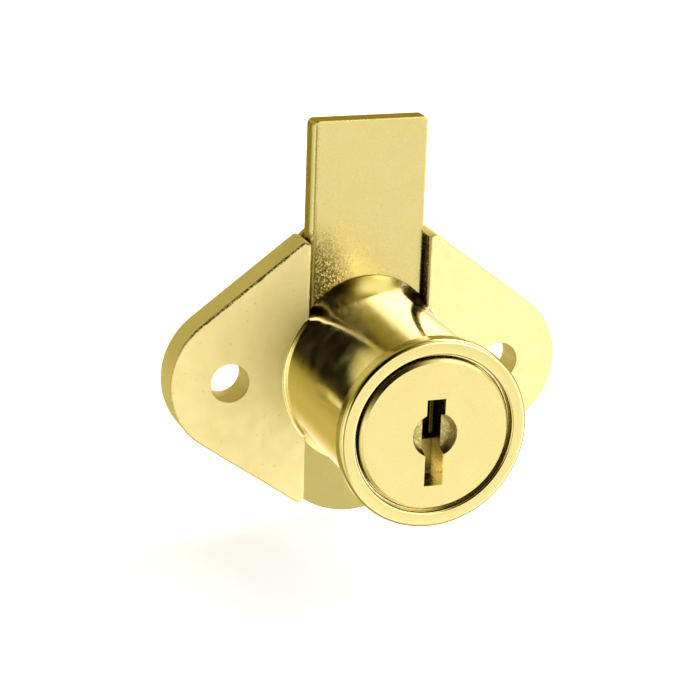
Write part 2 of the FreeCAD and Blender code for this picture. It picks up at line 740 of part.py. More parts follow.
def build_back_cover():
    """Stamped plate with full round ends that closes the bolt channel from behind."""
    body = new_body("back_cover")
    sketch = new_sketch(body, "cover_outline", "XZ_Plane", f"-{FLANGE_BACK}")
    radius = COVER_RADIUS
    centre = f"(sizes.cover_reach - {radius})"
    draw_outline(
        sketch,
        [
            (f"-{radius}", f"-{centre}"),
            ("0", "-sizes.cover_reach"),
            (radius, f"-{centre}"),
            (radius, centre),
            ("0", "sizes.cover_reach"),
            (f"-{radius}", centre),
        ],
        {
            0: (radius, ("0", f"-{centre}"), True),
            1: (radius, ("0", f"-{centre}"), True),
            3: (radius, ("0", centre), True),
            4: (radius, ("0", centre), True),
        },
    )
    extrude(body, "Pad", sketch, "sizes.cover_thickness", reverse=True)
    back = number(COVER_BACK)
    dress_edges(
        body, "Chamfer", "cover_back_edge", "sizes.cover_edge_chamfer",
        lambda edge: all_points(edge, lambda point: near(point.y, back)))
    holes = new_sketch(body, "post_holes", "XZ_Plane", f"{CUT_MARGIN} - {FLANGE_BACK}")
    for across in (f"-{POST_PLACE}", POST_PLACE):
        for height in ("-sizes.post_height / 2", "sizes.post_height / 2"):
            draw_circle(
                holes, "sizes.post_diameter / 2 + sizes.post_hole_clearance", (across, height))
    extrude(body, "Pocket", holes, f"sizes.cover_thickness + 2 * {CUT_MARGIN}")
    return body


def build_all():
    """Every sub-part of the lock, in the order in which it goes together."""
    pieces = [build_housing(), build_bezel_ring(), build_plug()]
    for index, cut in enumerate(KEY_CUTS):
        pieces.append(build_disc_tumbler(index, cut))
        place = f"({FIRST_DISC} - {index} * sizes.disc_pitch)"
        pieces.append(
            build_spring(
                f"disc_spring_{index + 1}", "sizes.spring_length",
                SPRING_PLACE, place, "-sizes.spring_length"))
    pieces.append(build_retainer())
    pieces.append(
        build_spring(
            "retainer_spring", "sizes.retainer_spring_length",
            "0", RETAINER_PLACE, "sizes.retainer_foot - sizes.retainer_spring_length"))
    pieces += [build_drive_pin(), build_bolt(), build_back_cover()]
    return pieces


def check(pieces):
    """Stop where a feature failed or a sub-part has no sound solid."""
    for item in doc.Objects:
        if any(flag in ("Invalid", "Error") for flag in item.State):
            raise ValueError(f"{item.Label} failed: {item.State}")
    for piece in pieces:
        shape = piece.Shape
        if shape.isNull() or not shape.isValid() or not shape.Solids:
            raise ValueError(f"{piece.Label} has no sound solid")


def export(pieces):
    """Write one STEP file for each sub-part."""
    os.makedirs("parts", exist_ok=True)
    for piece in pieces:
        piece.Shape.exportStep(f"parts/{piece.Label}.step")
        print(f"{piece.Label:18s} solids {len(piece.Shape.Solids)}  volume {piece.Shape.Volume:9.2f}")


parts = build_all()
doc.recompute()
check(parts)
export(parts)
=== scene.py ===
"""The looks of a brass plated drawer lock, dressed around its packed construction.

Lengths are in metres, in the frame of the construction. The barrel's axis is Y with the key side at -Y,
the bolt slides along Z, and the front of the flange is the plane y = 0. Sizes are written as millimetres
times MM.
"""

import logging
import math
from dataclasses import asdict, dataclass
from enum import Enum
from typing import Callable, Sequence

import bpy
import numpy as np
from mathutils import Matrix, Vector


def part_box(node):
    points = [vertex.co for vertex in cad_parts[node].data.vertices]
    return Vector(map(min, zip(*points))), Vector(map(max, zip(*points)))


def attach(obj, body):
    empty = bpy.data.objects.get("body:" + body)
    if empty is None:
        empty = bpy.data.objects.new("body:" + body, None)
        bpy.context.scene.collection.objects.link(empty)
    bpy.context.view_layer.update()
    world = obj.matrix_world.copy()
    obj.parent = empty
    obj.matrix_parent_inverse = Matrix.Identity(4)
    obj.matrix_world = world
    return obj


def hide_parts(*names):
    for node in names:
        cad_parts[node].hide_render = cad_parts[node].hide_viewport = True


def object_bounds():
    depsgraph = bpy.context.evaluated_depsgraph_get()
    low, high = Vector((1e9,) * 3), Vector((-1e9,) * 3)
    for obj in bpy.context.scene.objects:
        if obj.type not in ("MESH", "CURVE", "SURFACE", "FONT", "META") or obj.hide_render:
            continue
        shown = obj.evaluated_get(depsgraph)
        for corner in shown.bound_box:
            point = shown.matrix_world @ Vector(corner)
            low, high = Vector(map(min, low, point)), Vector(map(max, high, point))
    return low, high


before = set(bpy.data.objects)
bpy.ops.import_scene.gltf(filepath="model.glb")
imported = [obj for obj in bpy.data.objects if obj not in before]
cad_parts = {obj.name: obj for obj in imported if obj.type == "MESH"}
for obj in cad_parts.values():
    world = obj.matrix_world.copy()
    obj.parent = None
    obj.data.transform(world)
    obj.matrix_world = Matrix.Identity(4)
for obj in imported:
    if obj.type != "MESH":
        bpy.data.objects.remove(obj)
CAD_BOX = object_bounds()

MM = 0.001
FACE_MARGIN = 0.06 * MM
NEAR_AXIS = 0.02 * MM
ATTRIBUTES = ("edge", "polish", "stain")
LOG = logging.getLogger("drawer_lock")

Values = np.ndarray | float
Level = Callable[[float], Values]
Finishes = dict[str, bpy.types.Material]
Colour = tuple[float, float, float]
Socket = bpy.types.NodeSocket
Source = Socket | float | tuple[float, ...] | Vector


class Ends(Enum):
    """How the first and the last row of a surface are closed."""

    JOINED = "the last row runs into the first, as on a ring"
    CAPPED = "the first and the last row each shrink to one point"


class Side(Enum):
    """The two lobes of the flange, by the sign of x."""

    LEFT = -1
    RIGHT = 1


@dataclass
class Shell:
    """One closed surface.

    quads and triangles hold point numbers. The rest is what the finishes read at each point: edge is near 1
    at a worn edge, polish is 1 on a mirror polished surface and 0 on satin, and the third level is 1 where
    the surface is painted darker, or more where it is dark throughout: painted shade on the channel's walls,
    a painted dark reflection along the left lobe's top front edge, and a darker patch on the bolt.
    """

    points: np.ndarray
    quads: np.ndarray
    triangles: np.ndarray
    edge: Values = 0.0
    polish: Values = 0.0
    stain: Values = 0.0

    def face_outwards(self) -> None:
        """Turns all faces round if they point inwards.

        They do where the signed volume is negative: a sixth of the sum of a . (b x c) over all triangles
        a, b, c.
        """
        split = np.concatenate([self.quads[:, [0, 1, 2]], self.quads[:, [0, 2, 3]], self.triangles])
        a, b, c = (self.points[split[:, corner]] for corner in range(3))
        if np.einsum("ij,ij->", a, np.cross(b, c)) < 0:
            self.quads, self.triangles = self.quads[:, ::-1], self.triangles[:, ::-1]


def lattice(rows: np.ndarray, ends: Ends, edge: Values = 0.0, stain: Values = 0.0) -> Shell:
    """Closes a grid of points into a shell. The columns always wrap round.

    Point (i, j) of the grid has the number i * columns + j, and each quad joins the points (i, j),
    (i + 1, j), (i + 1, j + 1) and (i, j + 1).

    Args:
        rows: The grid, of shape (rows, columns, 3).
        ends: Whether the rows wrap round too, or shrink to a point at both ends.
        edge: The edge level at each grid point.
        stain: The level of painted shade and dark patches at each grid point.

    Returns:
        The closed shell, with its faces outwards.
    """
    count, columns = rows.shape[:2]
    wraps = ends is Ends.JOINED
    i, j = np.meshgrid(np.arange(count if wraps else count - 1), np.arange(columns), indexing="ij")
    below, right = (i + 1) % count, (j + 1) % columns
    quads = np.stack([i * columns + j, below * columns + j, below * columns + right, i * columns + right], -1)
    points, triangles = rows.reshape(-1, 3), np.zeros((0, 3), int)
    levels = [np.broadcast_to(level, (count, columns)).ravel() for level in (edge, stain)]
    if not wraps:
        here, there = np.arange(columns), (np.arange(columns) + 1) % columns
        pole, base = np.full(columns, len(points)), (count - 1) * columns
        top, bottom = np.stack([here, there, pole], -1), np.stack([base + there, base + here, pole + 1], -1)
        triangles = np.concatenate([top, bottom])
        points = np.concatenate([points, [rows[0].mean(0), rows[-1].mean(0)]])
        levels = [np.append(level, [0.0, 0.0]) for level in levels]
    shell = Shell(points, quads.reshape(-1, 4), triangles, edge=levels[0], stain=levels[1])
    shell.face_outwards()
    return shell


class Grid:
    """A closed surface that is laid row by row, each row an outline in x and z at some depth y."""

    def __init__(self, columns: int, flip: int = 1) -> None:
        """Starts an empty grid; flip is -1 to mirror every row in x."""
        self.columns = columns
        self.flip = flip
        self.rows: list[tuple[np.ndarray, np.ndarray, np.ndarray]] = []

    def add(self, flat: np.ndarray, y: Values, edge: float = 0.0, stain: Values = 0.0) -> None:
        """Adds one row: its outline, its depth, its edge level and its level of painted shade and dark
        patches.
        """
        depth, edges, stains = (np.broadcast_to(value, self.columns) for value in (y, edge, stain))
        self.rows.append((np.stack([flat[:, 0] * self.flip, depth, flat[:, 1]], -1), edges, stains))

    def fill(self, inner: np.ndarray, outer: np.ndarray, shares: Sequence[float], y: float) -> None:
        """Adds the rows of a flat face, at shares of the way from an inner to an outer outline."""
        for share in shares:
            self.add(inner + (outer - inner) * share, y)

    def wall(self, outline: np.ndarray, depths: Sequence[float], stain: Values = 0.0) -> None:
        """Adds the rows of a side: the same outline at several depths."""
        for y in depths:
            self.add(outline, y, 0.0, stain)

    def bend(self, outline: np.ndarray, normal: np.ndarray, radius: Values, face: Values, way: int,
             turn: tuple[float, float], steps: int, edge: Level, stain: Level = lambda angle: 0.0) -> None:
        """Adds the rows of a rounded edge between a flat face and a side.

        At the angle a, which is 0 on the face and 90 degrees on the side, a row lies radius * (1 - sin a)
        inside the outline and radius * (1 - cos a) from the face.

        Args:
            outline: The side's outline.
            normal: Its normals, away from the material.
            radius: The rounding, one number or one for each column.
            face: The face's depth.
            way: 1 where the side lies behind the face, at larger y, and -1 where it lies before it.
            turn: The first and the last angle, in degrees.
            steps: The number of rows.
            edge: Gives the edge level at an angle in radians.
            stain: Gives the level of painted shade and dark patches likewise.
        """
        radius = np.broadcast_to(radius, self.columns)
        for angle in np.radians(np.linspace(*turn, steps)):
            flat = outline - normal * radius[:, None] * (1 - math.sin(angle))
            self.add(flat, face + way * radius * (1 - math.cos(angle)), edge(angle), stain(angle))

    def shell(self, ends: Ends) -> Shell:
        """Closes the rows into a shell."""
        rows, edges, stains = (np.stack(column) for column in zip(*self.rows))
        return lattice(rows, ends, edges, stains)


def bend_wear(strength: float) -> Level:
    """An edge wear level for a bend: the strength times sin 2a, so that it is highest halfway round."""
    return lambda angle: strength * math.sin(2 * angle)


def unit(vectors: np.ndarray) -> np.ndarray:
    """The vectors at length one."""
    return vectors / np.linalg.norm(vectors, axis=-1, keepdims=True)


def ramp(values: Values, low: float, high: float) -> Values:
    """How far each value is from low to high, from 0 to 1."""
    return np.clip((values - low) / (high - low), 0, 1)


def arc(centre: Sequence[float], radius: float, start: float, end: float, steps: int) -> np.ndarray:
    """Points on an arc: the centre plus the radius times (cos t, sin t), t in degrees from start to end."""
    t = np.radians(np.linspace(start, end, steps))
    return np.asarray(centre) + radius * np.stack([np.cos(t), np.sin(t)], -1)


def rounded_outline(corners: Sequence[Sequence[float]], radii: Sequence[float], spacing: float) -> np.ndarray:
    """A closed outline of straight runs and rounded corners.

    At a corner with the half angle h, the arc starts and ends radius / tan h from the corner, and its centre
    is radius / sin h from it, on the line that halves the corner. An arc has a step for every five degrees.

    Args:
        corners: The sharp corners in order.
        radii: The radius at each corner.
        spacing: The longest step along a straight run.

    Returns:
        The outline's points, of shape (n, 2).
    """
    corner = np.asarray(corners, float)
    bends = []
    for here, before, after, radius in zip(corner, np.roll(corner, 1, 0), np.roll(corner, -1, 0), radii):
        a, b = unit(before - here), unit(after - here)
        half = math.acos(np.clip(a @ b, -1, 1)) / 2
        centre = here + unit(a + b) * radius / math.sin(half)
        start, end = (here + side * radius / math.tan(half) for side in (a, b))
        (x, z), (end_x, end_z) = start - centre, end - centre
        turn, first = math.degrees(math.pi - 2 * half), math.degrees(math.atan2(z, x))
        way = math.copysign(1, x * end_z - z * end_x)
        bend = arc(centre, radius, first, first + way * turn, max(4, math.ceil(turn / 5) + 1))
        bends.append((start, bend, end))
    pieces = []
    for (_, bend, end), (start, _, _) in zip(bends, bends[1:] + bends[:1]):
        steps = max(1, math.ceil(np.linalg.norm(start - end) / spacing))
        pieces += [bend, end + (start - end) * (np.arange(1, steps) / steps)[:, None]]
    points = np.concatenate(pieces)
    gap = np.linalg.norm(points - np.roll(points, 1, 0), axis=1)
    return points[gap > 1e-7]


def box_corners(half_width: float, low: float, high: float) -> list[tuple[float, float]]:
    """The corners of an upright rectangle about x = 0."""
    return [(-half_width, low), (half_width, low), (half_width, high), (-half_width, high)]


def outline_normals(outline: np.ndarray, centre: np.ndarray) -> np.ndarray:
    """Unit normals of a closed outline, away from the centre: each is square to its two neighbours' line."""
    along = np.roll(outline, -1, 0) - np.roll(outline, 1, 0)
    normal = unit(np.stack([along[:, 1], -along[:, 0]], -1))
    return normal if np.sum(normal * (outline - centre), axis=1).mean() > 0 else -normal


def wobble(count: int, waves: int, seed: int) -> np.ndarray:
    """A smooth random curve between -1 and 1 that closes on itself: waves random values, joined smoothly."""
    values = np.random.default_rng(seed).uniform(-1, 1, waves)
    place = np.arange(count) * waves / count
    left = place.astype(int)
    share = place - left
    share = share * share * (3 - 2 * share)
    return values[left % waves] * (1 - share) + values[(left + 1) % waves] * share


def spin(profile: np.ndarray, ends: Ends, steps: int, centre: tuple[float, float] = (0.0, 0.0),
         edge: Values = 0.0) -> Shell:
    """Carries a profile round an axis parallel to Y.

    The point (r, y) of the profile at the angle t lies at x = cx + r cos t, y, z = cz + r sin t.

    Args:
        profile: Radius and depth of each profile point, of shape (n, 2).
        ends: JOINED for a closed profile, CAPPED for one that starts and ends near the axis.
        steps: The number of steps round the axis.
        centre: The x and z of the axis.
        edge: The edge level at each profile point.

    Returns:
        The closed shell.
    """
    t = np.linspace(0, 2 * math.pi, steps, endpoint=False)
    x, z = (middle + profile[:, :1] * ray for middle, ray in zip(centre, (np.cos(t), np.sin(t))))
    y = np.broadcast_to(profile[:, 1:], x.shape)
    return lattice(np.stack([x, y, z], -1), ends, np.broadcast_to(edge, len(profile))[:, None])


def add_object(name: str, data: bpy.types.ID) -> bpy.types.Object:
    """Puts an object with its data into the scene."""
    made = bpy.data.objects.new(name, data)
    bpy.context.scene.collection.objects.link(made)
    return made


def make_object(name: str, shells: Sequence[Shell], crease: float = 32.0) -> bpy.types.Object:
    """Puts closed shells into one mesh object, smooth except at edges sharper than the crease angle.

    Args:
        name: The piece's name.
        shells: Its closed surfaces.
        crease: The angle between two faces, in degrees, above which their edge stays sharp.

    Returns:
        The new object, at the origin.
    """
    points = np.concatenate([shell.points for shell in shells])
    starts = np.cumsum([0] + [len(shell.points) for shell in shells[:-1]])
    quads = np.concatenate([shell.quads + start for shell, start in zip(shells, starts)])
    triangles = np.concatenate([shell.triangles + start for shell, start in zip(shells, starts)])
    loops = np.concatenate([quads.ravel(), triangles.ravel()])
    face_starts = np.concatenate([np.arange(len(quads)) * 4, quads.size + np.arange(len(triangles)) * 3])
    mesh = bpy.data.meshes.new(name)
    mesh.vertices.add(len(points))
    mesh.vertices.foreach_set("co", points.astype(np.float32).ravel())
    mesh.loops.add(len(loops))
    mesh.loops.foreach_set("vertex_index", loops.astype(np.int32))
    mesh.polygons.add(len(face_starts))
    mesh.polygons.foreach_set("loop_start", face_starts.astype(np.int32))
    mesh.update(calc_edges=True)
    mesh.validate()
    for title in ATTRIBUTES:
        levels = [np.broadcast_to(getattr(shell, title), len(shell.points)) for shell in shells]
        values = np.concatenate(levels).astype(np.float32)
        mesh.attributes.new(title, "FLOAT", "POINT").data.foreach_set("value", values)
    mesh.shade_smooth()
    mesh.set_sharp_from_angle(angle=math.radians(crease))
    return add_object(name, mesh)


def mount(piece: bpy.types.Object, body: str, slot: str, finishes: Finishes, node: str) -> None:
    """Gives a new piece its body, its slot, the finish of that slot and the node that it stands for.

    Args:
        piece: The piece.
        body: The construction body that it rides on.
        slot: The record's material slot.
        finishes: The materials by slot.
        node: The construction node that it replaces.
    """
    piece.data.materials.clear()
    piece.data.materials.append(finishes[slot])
    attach(piece, body)
    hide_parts(node)
    LOG.info("%s: %d points, on %s", piece.name, len(piece.data.vertices), body)


def paint_node(node: str, material: bpy.types.Material) -> None:
    """Gives a construction node a finish of this script's."""
    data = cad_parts[node].data
    data.materials.clear()
    data.materials.append(material)
    LOG.info("%s: construction node, %s", node, material.name)


class Piece:
    """A sub-assembly that is one visible piece in the place of one construction node.

    It has its own name, the body it rides on, the record's material slot and the node it replaces.
    """

    name: str
    body: str
    slot: str
    node: str

    def build(self) -> bpy.types.Object:
        """Builds the piece's mesh."""
        raise NotImplementedError

    def dress(self, finishes: Finishes) -> None:
        """Builds the piece and gives it its body and its finish."""
        mount(self.build(), self.body, self.slot, finishes, self.node)


@dataclass(frozen=True)
class Housing(Piece):
    """The die cast housing: barrel and bore, the bridge across the bolt's channel, two lobes and four posts.

    Angles are in degrees. The stop recess runs from stop_start to stop_end round the bore.
    """

    name, body, slot, node = "housing_casting", "lock_case", "plated_casting", "housing"

    barrel_radius: float = 11.45 * MM
    mouth: float = -24.0 * MM
    mouth_rounding: float = 0.3 * MM
    root_fillet: float = 0.4 * MM
    flare: float = 1.65 * MM
    flare_start: float = -3.4 * MM
    flare_power: float = 1.7
    flare_middle: float = 80.0
    flare_half_angle: float = 72.0
    bridge_back: float = 1.55 * MM
    bore_radius: float = 8.25 * MM
    seat_radius: float = 10.05 * MM
    seat_depth: float = -22.65 * MM
    seat_chamfer: float = 0.12 * MM
    groove_half_width: float = 4.15 * MM
    groove_reach: float = 9.1 * MM
    groove_back: float = -7.2 * MM
    stop_radius: float = 9.4 * MM
    stop_floor: float = -21.3 * MM
    stop_start: float = -194.0
    stop_end: float = 14.0
    retainer_groove_radius: float = 9.2 * MM
    retainer_groove_front: float = -5.3 * MM
    retainer_groove_back: float = -4.1 * MM
    bore_chamfer: float = 0.1 * MM
    channel_half_width: float = 8.3 * MM
    root_start: float = 8.798 * MM
    flange_thickness: float = 4.8 * MM
    round_centre: float = 17.1 * MM
    round_radius: float = 10.1 * MM
    top_slope: float = 37.0
    bottom_slope: float = 35.0
    inner_corner: float = 0.75 * MM
    hole_place: float = 19.05 * MM
    hole_radius: float = 2.6 * MM
    hole_rounding: float = 0.12 * MM
    front_rounding: float = 0.32 * MM
    back_rounding: float = 0.25 * MM
    ragged_seed: int = 7
    ragged_waves: tuple[int, int] = (90, 210)
    ragged_shares: tuple[float, float] = (0.18, 0.12)
    # Painted shade on the channel's walls, and where the painted dark reflection lies on the left lobe's top
    # front edge.
    wall_stain: float = 2.5
    stained_wall: tuple[float, float] = (0.9, 0.98)
    stained_top: tuple[float, float] = (0.5, 0.7)
    stained_turn: tuple[float, float] = (0.15, 1.3)
    post_x: float = 9.85 * MM
    post_z: float = 6.5 * MM
    post_radius: float = 0.75 * MM
    post_root: float = 4.3 * MM
    post_head_radius: float = 1.25 * MM
    post_head_back: float = 6.5 * MM
    post_head: tuple[tuple[float, float], ...] = (
        (0.02, 0.72), (0.35, 0.78), (0.6, 1.0), (0.82, 0.88), (0.95, 0.55), (1.0, 0.2), (1.0, 0.0))
    cover_back: float = 6.0 * MM

    def lobe_outline(self) -> np.ndarray:
        """The right lobe's outline in x and z: two straight slopes that run tangent into the round end."""
        top, bottom = math.radians(self.top_slope), math.radians(self.bottom_slope)
        inner, reach = self.channel_half_width, self.round_centre - self.channel_half_width
        top_z = (self.round_radius + reach * math.sin(top)) / math.cos(top)
        bottom_z = -(self.round_radius + reach * math.sin(bottom)) / math.cos(bottom)
        tip_x = inner + (top_z - bottom_z) / (math.tan(top) + math.tan(bottom))
        corners = [(inner, bottom_z), (tip_x, top_z - (tip_x - inner) * math.tan(top)), (inner, top_z)]
        return rounded_outline(corners, [self.inner_corner, self.round_radius, self.inner_corner], 0.35 * MM)

    def lobe(self, side: Side) -> Shell:
        """One lobe: a section carried round its screw hole.

        Each column of the grid is a closed section on the ray from the hole through one point of the outline.
        It runs from the hole's rim over the front face, round the front edge, down the side, round the back
        edge, back over the rear face and through the hole. The front edge's radius wanders a little, as a
        hand polished casting's does. The channel's walls get painted shade, and the left lobe's top front
        edge has a painted dark reflection partway round its rounding.

        Args:
            side: Which lobe.

        Returns:
            The closed shell.
        """
        outline = self.lobe_outline()
        hole_centre = np.array([self.hole_place, 0.0])
        normal, ray = outline_normals(outline, hole_centre), unit(outline - hole_centre)
        rim = hole_centre + ray * self.hole_radius
        count, seed = len(outline), self.ragged_seed + side.value
        slow, quick = (
            share * wobble(count, waves, seed + 10 * step)
            for step, (waves, share) in enumerate(zip(self.ragged_waves, self.ragged_shares)))
        front = self.front_rounding * (1 + slow + quick)
        lip, back, back_face = self.hole_rounding, self.back_rounding, self.flange_thickness
        # Painted shade, dark throughout, on the walls that face the channel.
        channel_wall_shade = self.wall_stain * ramp(-normal[:, 0], *self.stained_wall)
        # A painted dark reflection on the left lobe's front edge where it faces up.
        dark_top_edge = ramp(normal[:, 1], *self.stained_top) * (side is Side.LEFT)
        first, last = self.stained_turn
        inner = rim + ray * lip * 1.4
        grid = Grid(count, side.value)
        grid.bend(rim, -ray, lip, 0.0, 1, (90, 0), 5, lambda a: 0.5 + a / math.pi)
        outer = outline - normal * (front[:, None] + FACE_MARGIN)
        grid.fill(inner, outer, [*np.linspace(0, 0.97, 14), 1.0], 0.0)
        grid.bend(outline, normal, front, 0.0, 1, (0, 90), 8, bend_wear(1.0),
                  lambda a: dark_top_edge * (first < a < last))
        wall = np.linspace(self.front_rounding * 1.5, back_face - back - 0.05 * MM, 5)
        grid.wall(outline, wall, channel_wall_shade)
        grid.bend(outline, normal, back, back_face, -1, (90, 0), 6, bend_wear(1.0))
        grid.fill(inner, outline - normal * (back + FACE_MARGIN), np.linspace(1, 0, 12), back_face)
        grid.bend(rim, -ray, lip, back_face, -1, (0, 90), 5, lambda a: 0.5)
        grid.wall(rim, np.linspace(back_face - lip * 1.6, lip * 1.6, 5))
        return grid.shell(Ends.JOINED)

    def outer_radius(self, angle: np.ndarray, y: float) -> np.ndarray:
        """The barrel's outer radius for every angle at one depth.

        It is the plain radius, plus a flare that grows with a power of the depth and with the square of a
        cosine round the middle of the channel, above and below, plus the quarter round root where the barrel
        meets a lobe. The root is left out where the barrel crosses the channel.

        Args:
            angle: The angles from +X towards +Z, in radians.
            y: The depth.

        Returns:
            The radius at each angle.
        """
        depth = ramp(y, self.flare_start, self.bridge_back)
        away = np.abs((np.degrees(angle) - self.flare_middle + 90) % 180 - 90)
        window = np.cos(np.radians(np.minimum(away / self.flare_half_angle, 1) * 90)) ** 2
        flared = self.barrel_radius + self.flare * window * depth ** self.flare_power
        rise = ramp(y, -self.root_fillet, 0.0)
        beside = ramp(np.abs(flared * np.cos(angle)), self.channel_half_width, self.root_start)
        return flared + self.root_fillet * (1 - math.sqrt(1 - rise * rise)) * beside

    def grooved_radius(self, angle: np.ndarray) -> np.ndarray:
        """The bore with the disc grooves: the edge of a round hole with an upright slot across it.

        A ray leaves the slot where it first meets a side, at half_width / |cos|, or an end, at
        reach / |sin|. The edge is the further of that and the round hole.

        Args:
            angle: The rays' angles from +X towards +Z, in radians.

        Returns:
            The radius at each angle.
        """
        cosine, sine = (np.maximum(np.abs(ratio), 1e-9) for ratio in (np.cos(angle), np.sin(angle)))
        slot = np.minimum(self.groove_half_width / cosine, self.groove_reach / sine)
        return np.maximum(self.bore_radius, slot)

    def barrel(self) -> Shell:
        """The barrel, its root, the bridge and the bore, as one surface of angle and depth.

        Each row is a polar curve: a radius for every angle at one depth. Most rows are circles. The rows of
        the disc grooves follow the slotted bore, and those of the stop recess have the wider radius over a
        half turn.

        Returns:
            The closed shell.
        """
        wall = math.acos(self.groove_half_width / self.bore_radius)
        corner = math.atan2(self.groove_reach, self.groove_half_width)
        kinks = [base + way * turn for base in (0.0, math.pi) for way in (1, -1) for turn in (wall, corner)]
        stops = (self.stop_start, self.stop_end)
        kinks += [math.radians(stop) + way * 1e-4 for stop in stops for way in (1, -1)]
        even = np.linspace(0, 2 * math.pi, 240, endpoint=False)
        angle = np.unique(np.round(np.concatenate([even, np.array(kinks) % (2 * math.pi)]), 7))
        bore, seat, grooved = self.bore_radius, self.seat_radius, self.grooved_radius(angle)
        in_stop = (np.degrees(angle) - self.stop_start) % 360 < self.stop_end - self.stop_start
        stop = np.where(in_stop, np.maximum(self.stop_radius, grooved), grooved)
        lip, small, bridge = self.mouth_rounding, self.bore_chamfer, self.bridge_back
        ledge, deep = self.seat_chamfer, self.retainer_groove_radius
        depths = np.concatenate([
            np.linspace(self.mouth + lip * 1.3, self.flare_start, 32)[:-1],
            np.linspace(self.flare_start, -self.root_fillet, 10)[:-1],
            -self.root_fillet * (1 - np.sin(np.linspace(0, math.pi / 2, 10))),
            np.linspace(0, bridge - small, 6)[1:],
        ])
        rows = [(seat, self.mouth + ledge, 0.6), (seat + ledge, self.mouth, 0.8)]
        mouth = arc((self.barrel_radius - lip, self.mouth + lip), lip, -90, 0, 6)
        rows += [(radius, y, 0.7) for radius, y in mouth]
        rows += [(self.outer_radius(angle, y), y, 0.0) for y in depths]
        rows += [(self.outer_radius(angle, bridge) - small, bridge, 0.3)]
        rows += [(bore + small, bridge, 0.3), (bore, bridge - small, 0.3)]
        rows += [(bore, self.retainer_groove_back, 0.0), (deep, self.retainer_groove_back, 0.0)]
        rows += [(deep, self.retainer_groove_front, 0.0), (bore, self.retainer_groove_front, 0.0)]
        rows += [(bore, self.groove_back, 0.0), (grooved, self.groove_back, 0.0)]
        rows += [(grooved, self.stop_floor, 0.0), (stop, self.stop_floor, 0.0), (stop, self.seat_depth, 0.0)]
        rows += [(seat, self.seat_depth, 0.0), (seat, self.mouth + lip, 0.0)]
        ray = np.stack([np.cos(angle), np.sin(angle)], -1)
        grid = Grid(len(angle))
        for radius, y, edge in rows:
            grid.add(ray * np.broadcast_to(radius, len(angle))[:, None], y, edge)
        shell = grid.shell(Ends.JOINED)
        shell.polish = 1.0
        return shell

    def posts(self) -> list[Shell]:
        """The four posts that are staked over the cover: a shank and a low head with a hammered dimple."""
        radius, height = np.array(self.post_head).T
        radius, height = radius * self.post_head_radius, height * (self.post_head_back - self.cover_back)
        shank = [(self.post_radius, self.cover_back), (self.post_radius, self.post_root)]
        shank.append((NEAR_AXIS, self.post_root))
        profile = np.concatenate([np.stack([radius, self.cover_back + height], -1), shank])
        places = [(x * self.post_x, z * self.post_z) for x in (-1, 1) for z in (-1, 1)]
        return [spin(profile, Ends.CAPPED, 40, place) for place in places]

    def build(self) -> bpy.types.Object:
        """Builds the housing as one piece of closed shells."""
        return make_object(self.name, [self.barrel(), *(self.lobe(side) for side in Side), *self.posts()])


@dataclass(frozen=True)
class BezelRing(Piece):
    """The pressed ring over the barrel's mouth, with a rolled rim."""

    name, body, slot, node = "mouth_ring", "lock_case", "plated_ring", "bezel_ring"

    outer_radius: float = 12.4 * MM
    opening_radius: float = 10.4 * MM
    press_radius: float = 11.47 * MM
    front: float = -24.8 * MM
    back: float = -22.6 * MM
    seat: float = -24.0 * MM
    rim_rounding: float = 0.58 * MM
    lip_rounding: float = 0.35 * MM
    tail_rounding: float = 0.3 * MM
    chamfer: float = 0.05 * MM
    crown: float = 0.012 * MM

    def build(self) -> bpy.types.Object:
        """Spins the ring's section: lip, crowned front band, rolled rim, wall, tail, press fit and seat."""
        lip, rim, tail, small = self.lip_rounding, self.rim_rounding, self.tail_rounding, self.chamfer
        inner, outer, press, back = self.opening_radius, self.outer_radius, self.press_radius, self.back
        top = self.front + self.crown
        crowned = top - self.crown * (1 - np.linspace(-1, 1, 9) ** 2)
        band = np.stack([np.linspace(inner + lip, outer - rim, 9), crowned], -1)
        parts = [
            (arc((inner + lip, top + lip), lip, 180, 270, 9), 0.4),
            (band[1:-1], 0.0),
            (arc((outer - rim, top + rim), rim, -90, 0, 14), 0.35),
            ([(outer, back - tail * 1.3)], 0.0),
            (arc((outer - tail, back - tail), tail, 0, 90, 7), 0.0),
            ([(press + small, back), (press, back - small), (press, self.seat)], 0.0),
            ([(inner + small, self.seat), (inner, self.seat - small)], 0.0),
        ]
        profile = np.concatenate([points for points, level in parts])
        edge = np.concatenate([np.full(len(points), level) for points, level in parts])
        return make_object(self.name, [spin(profile, Ends.JOINED, 256, edge=edge)])


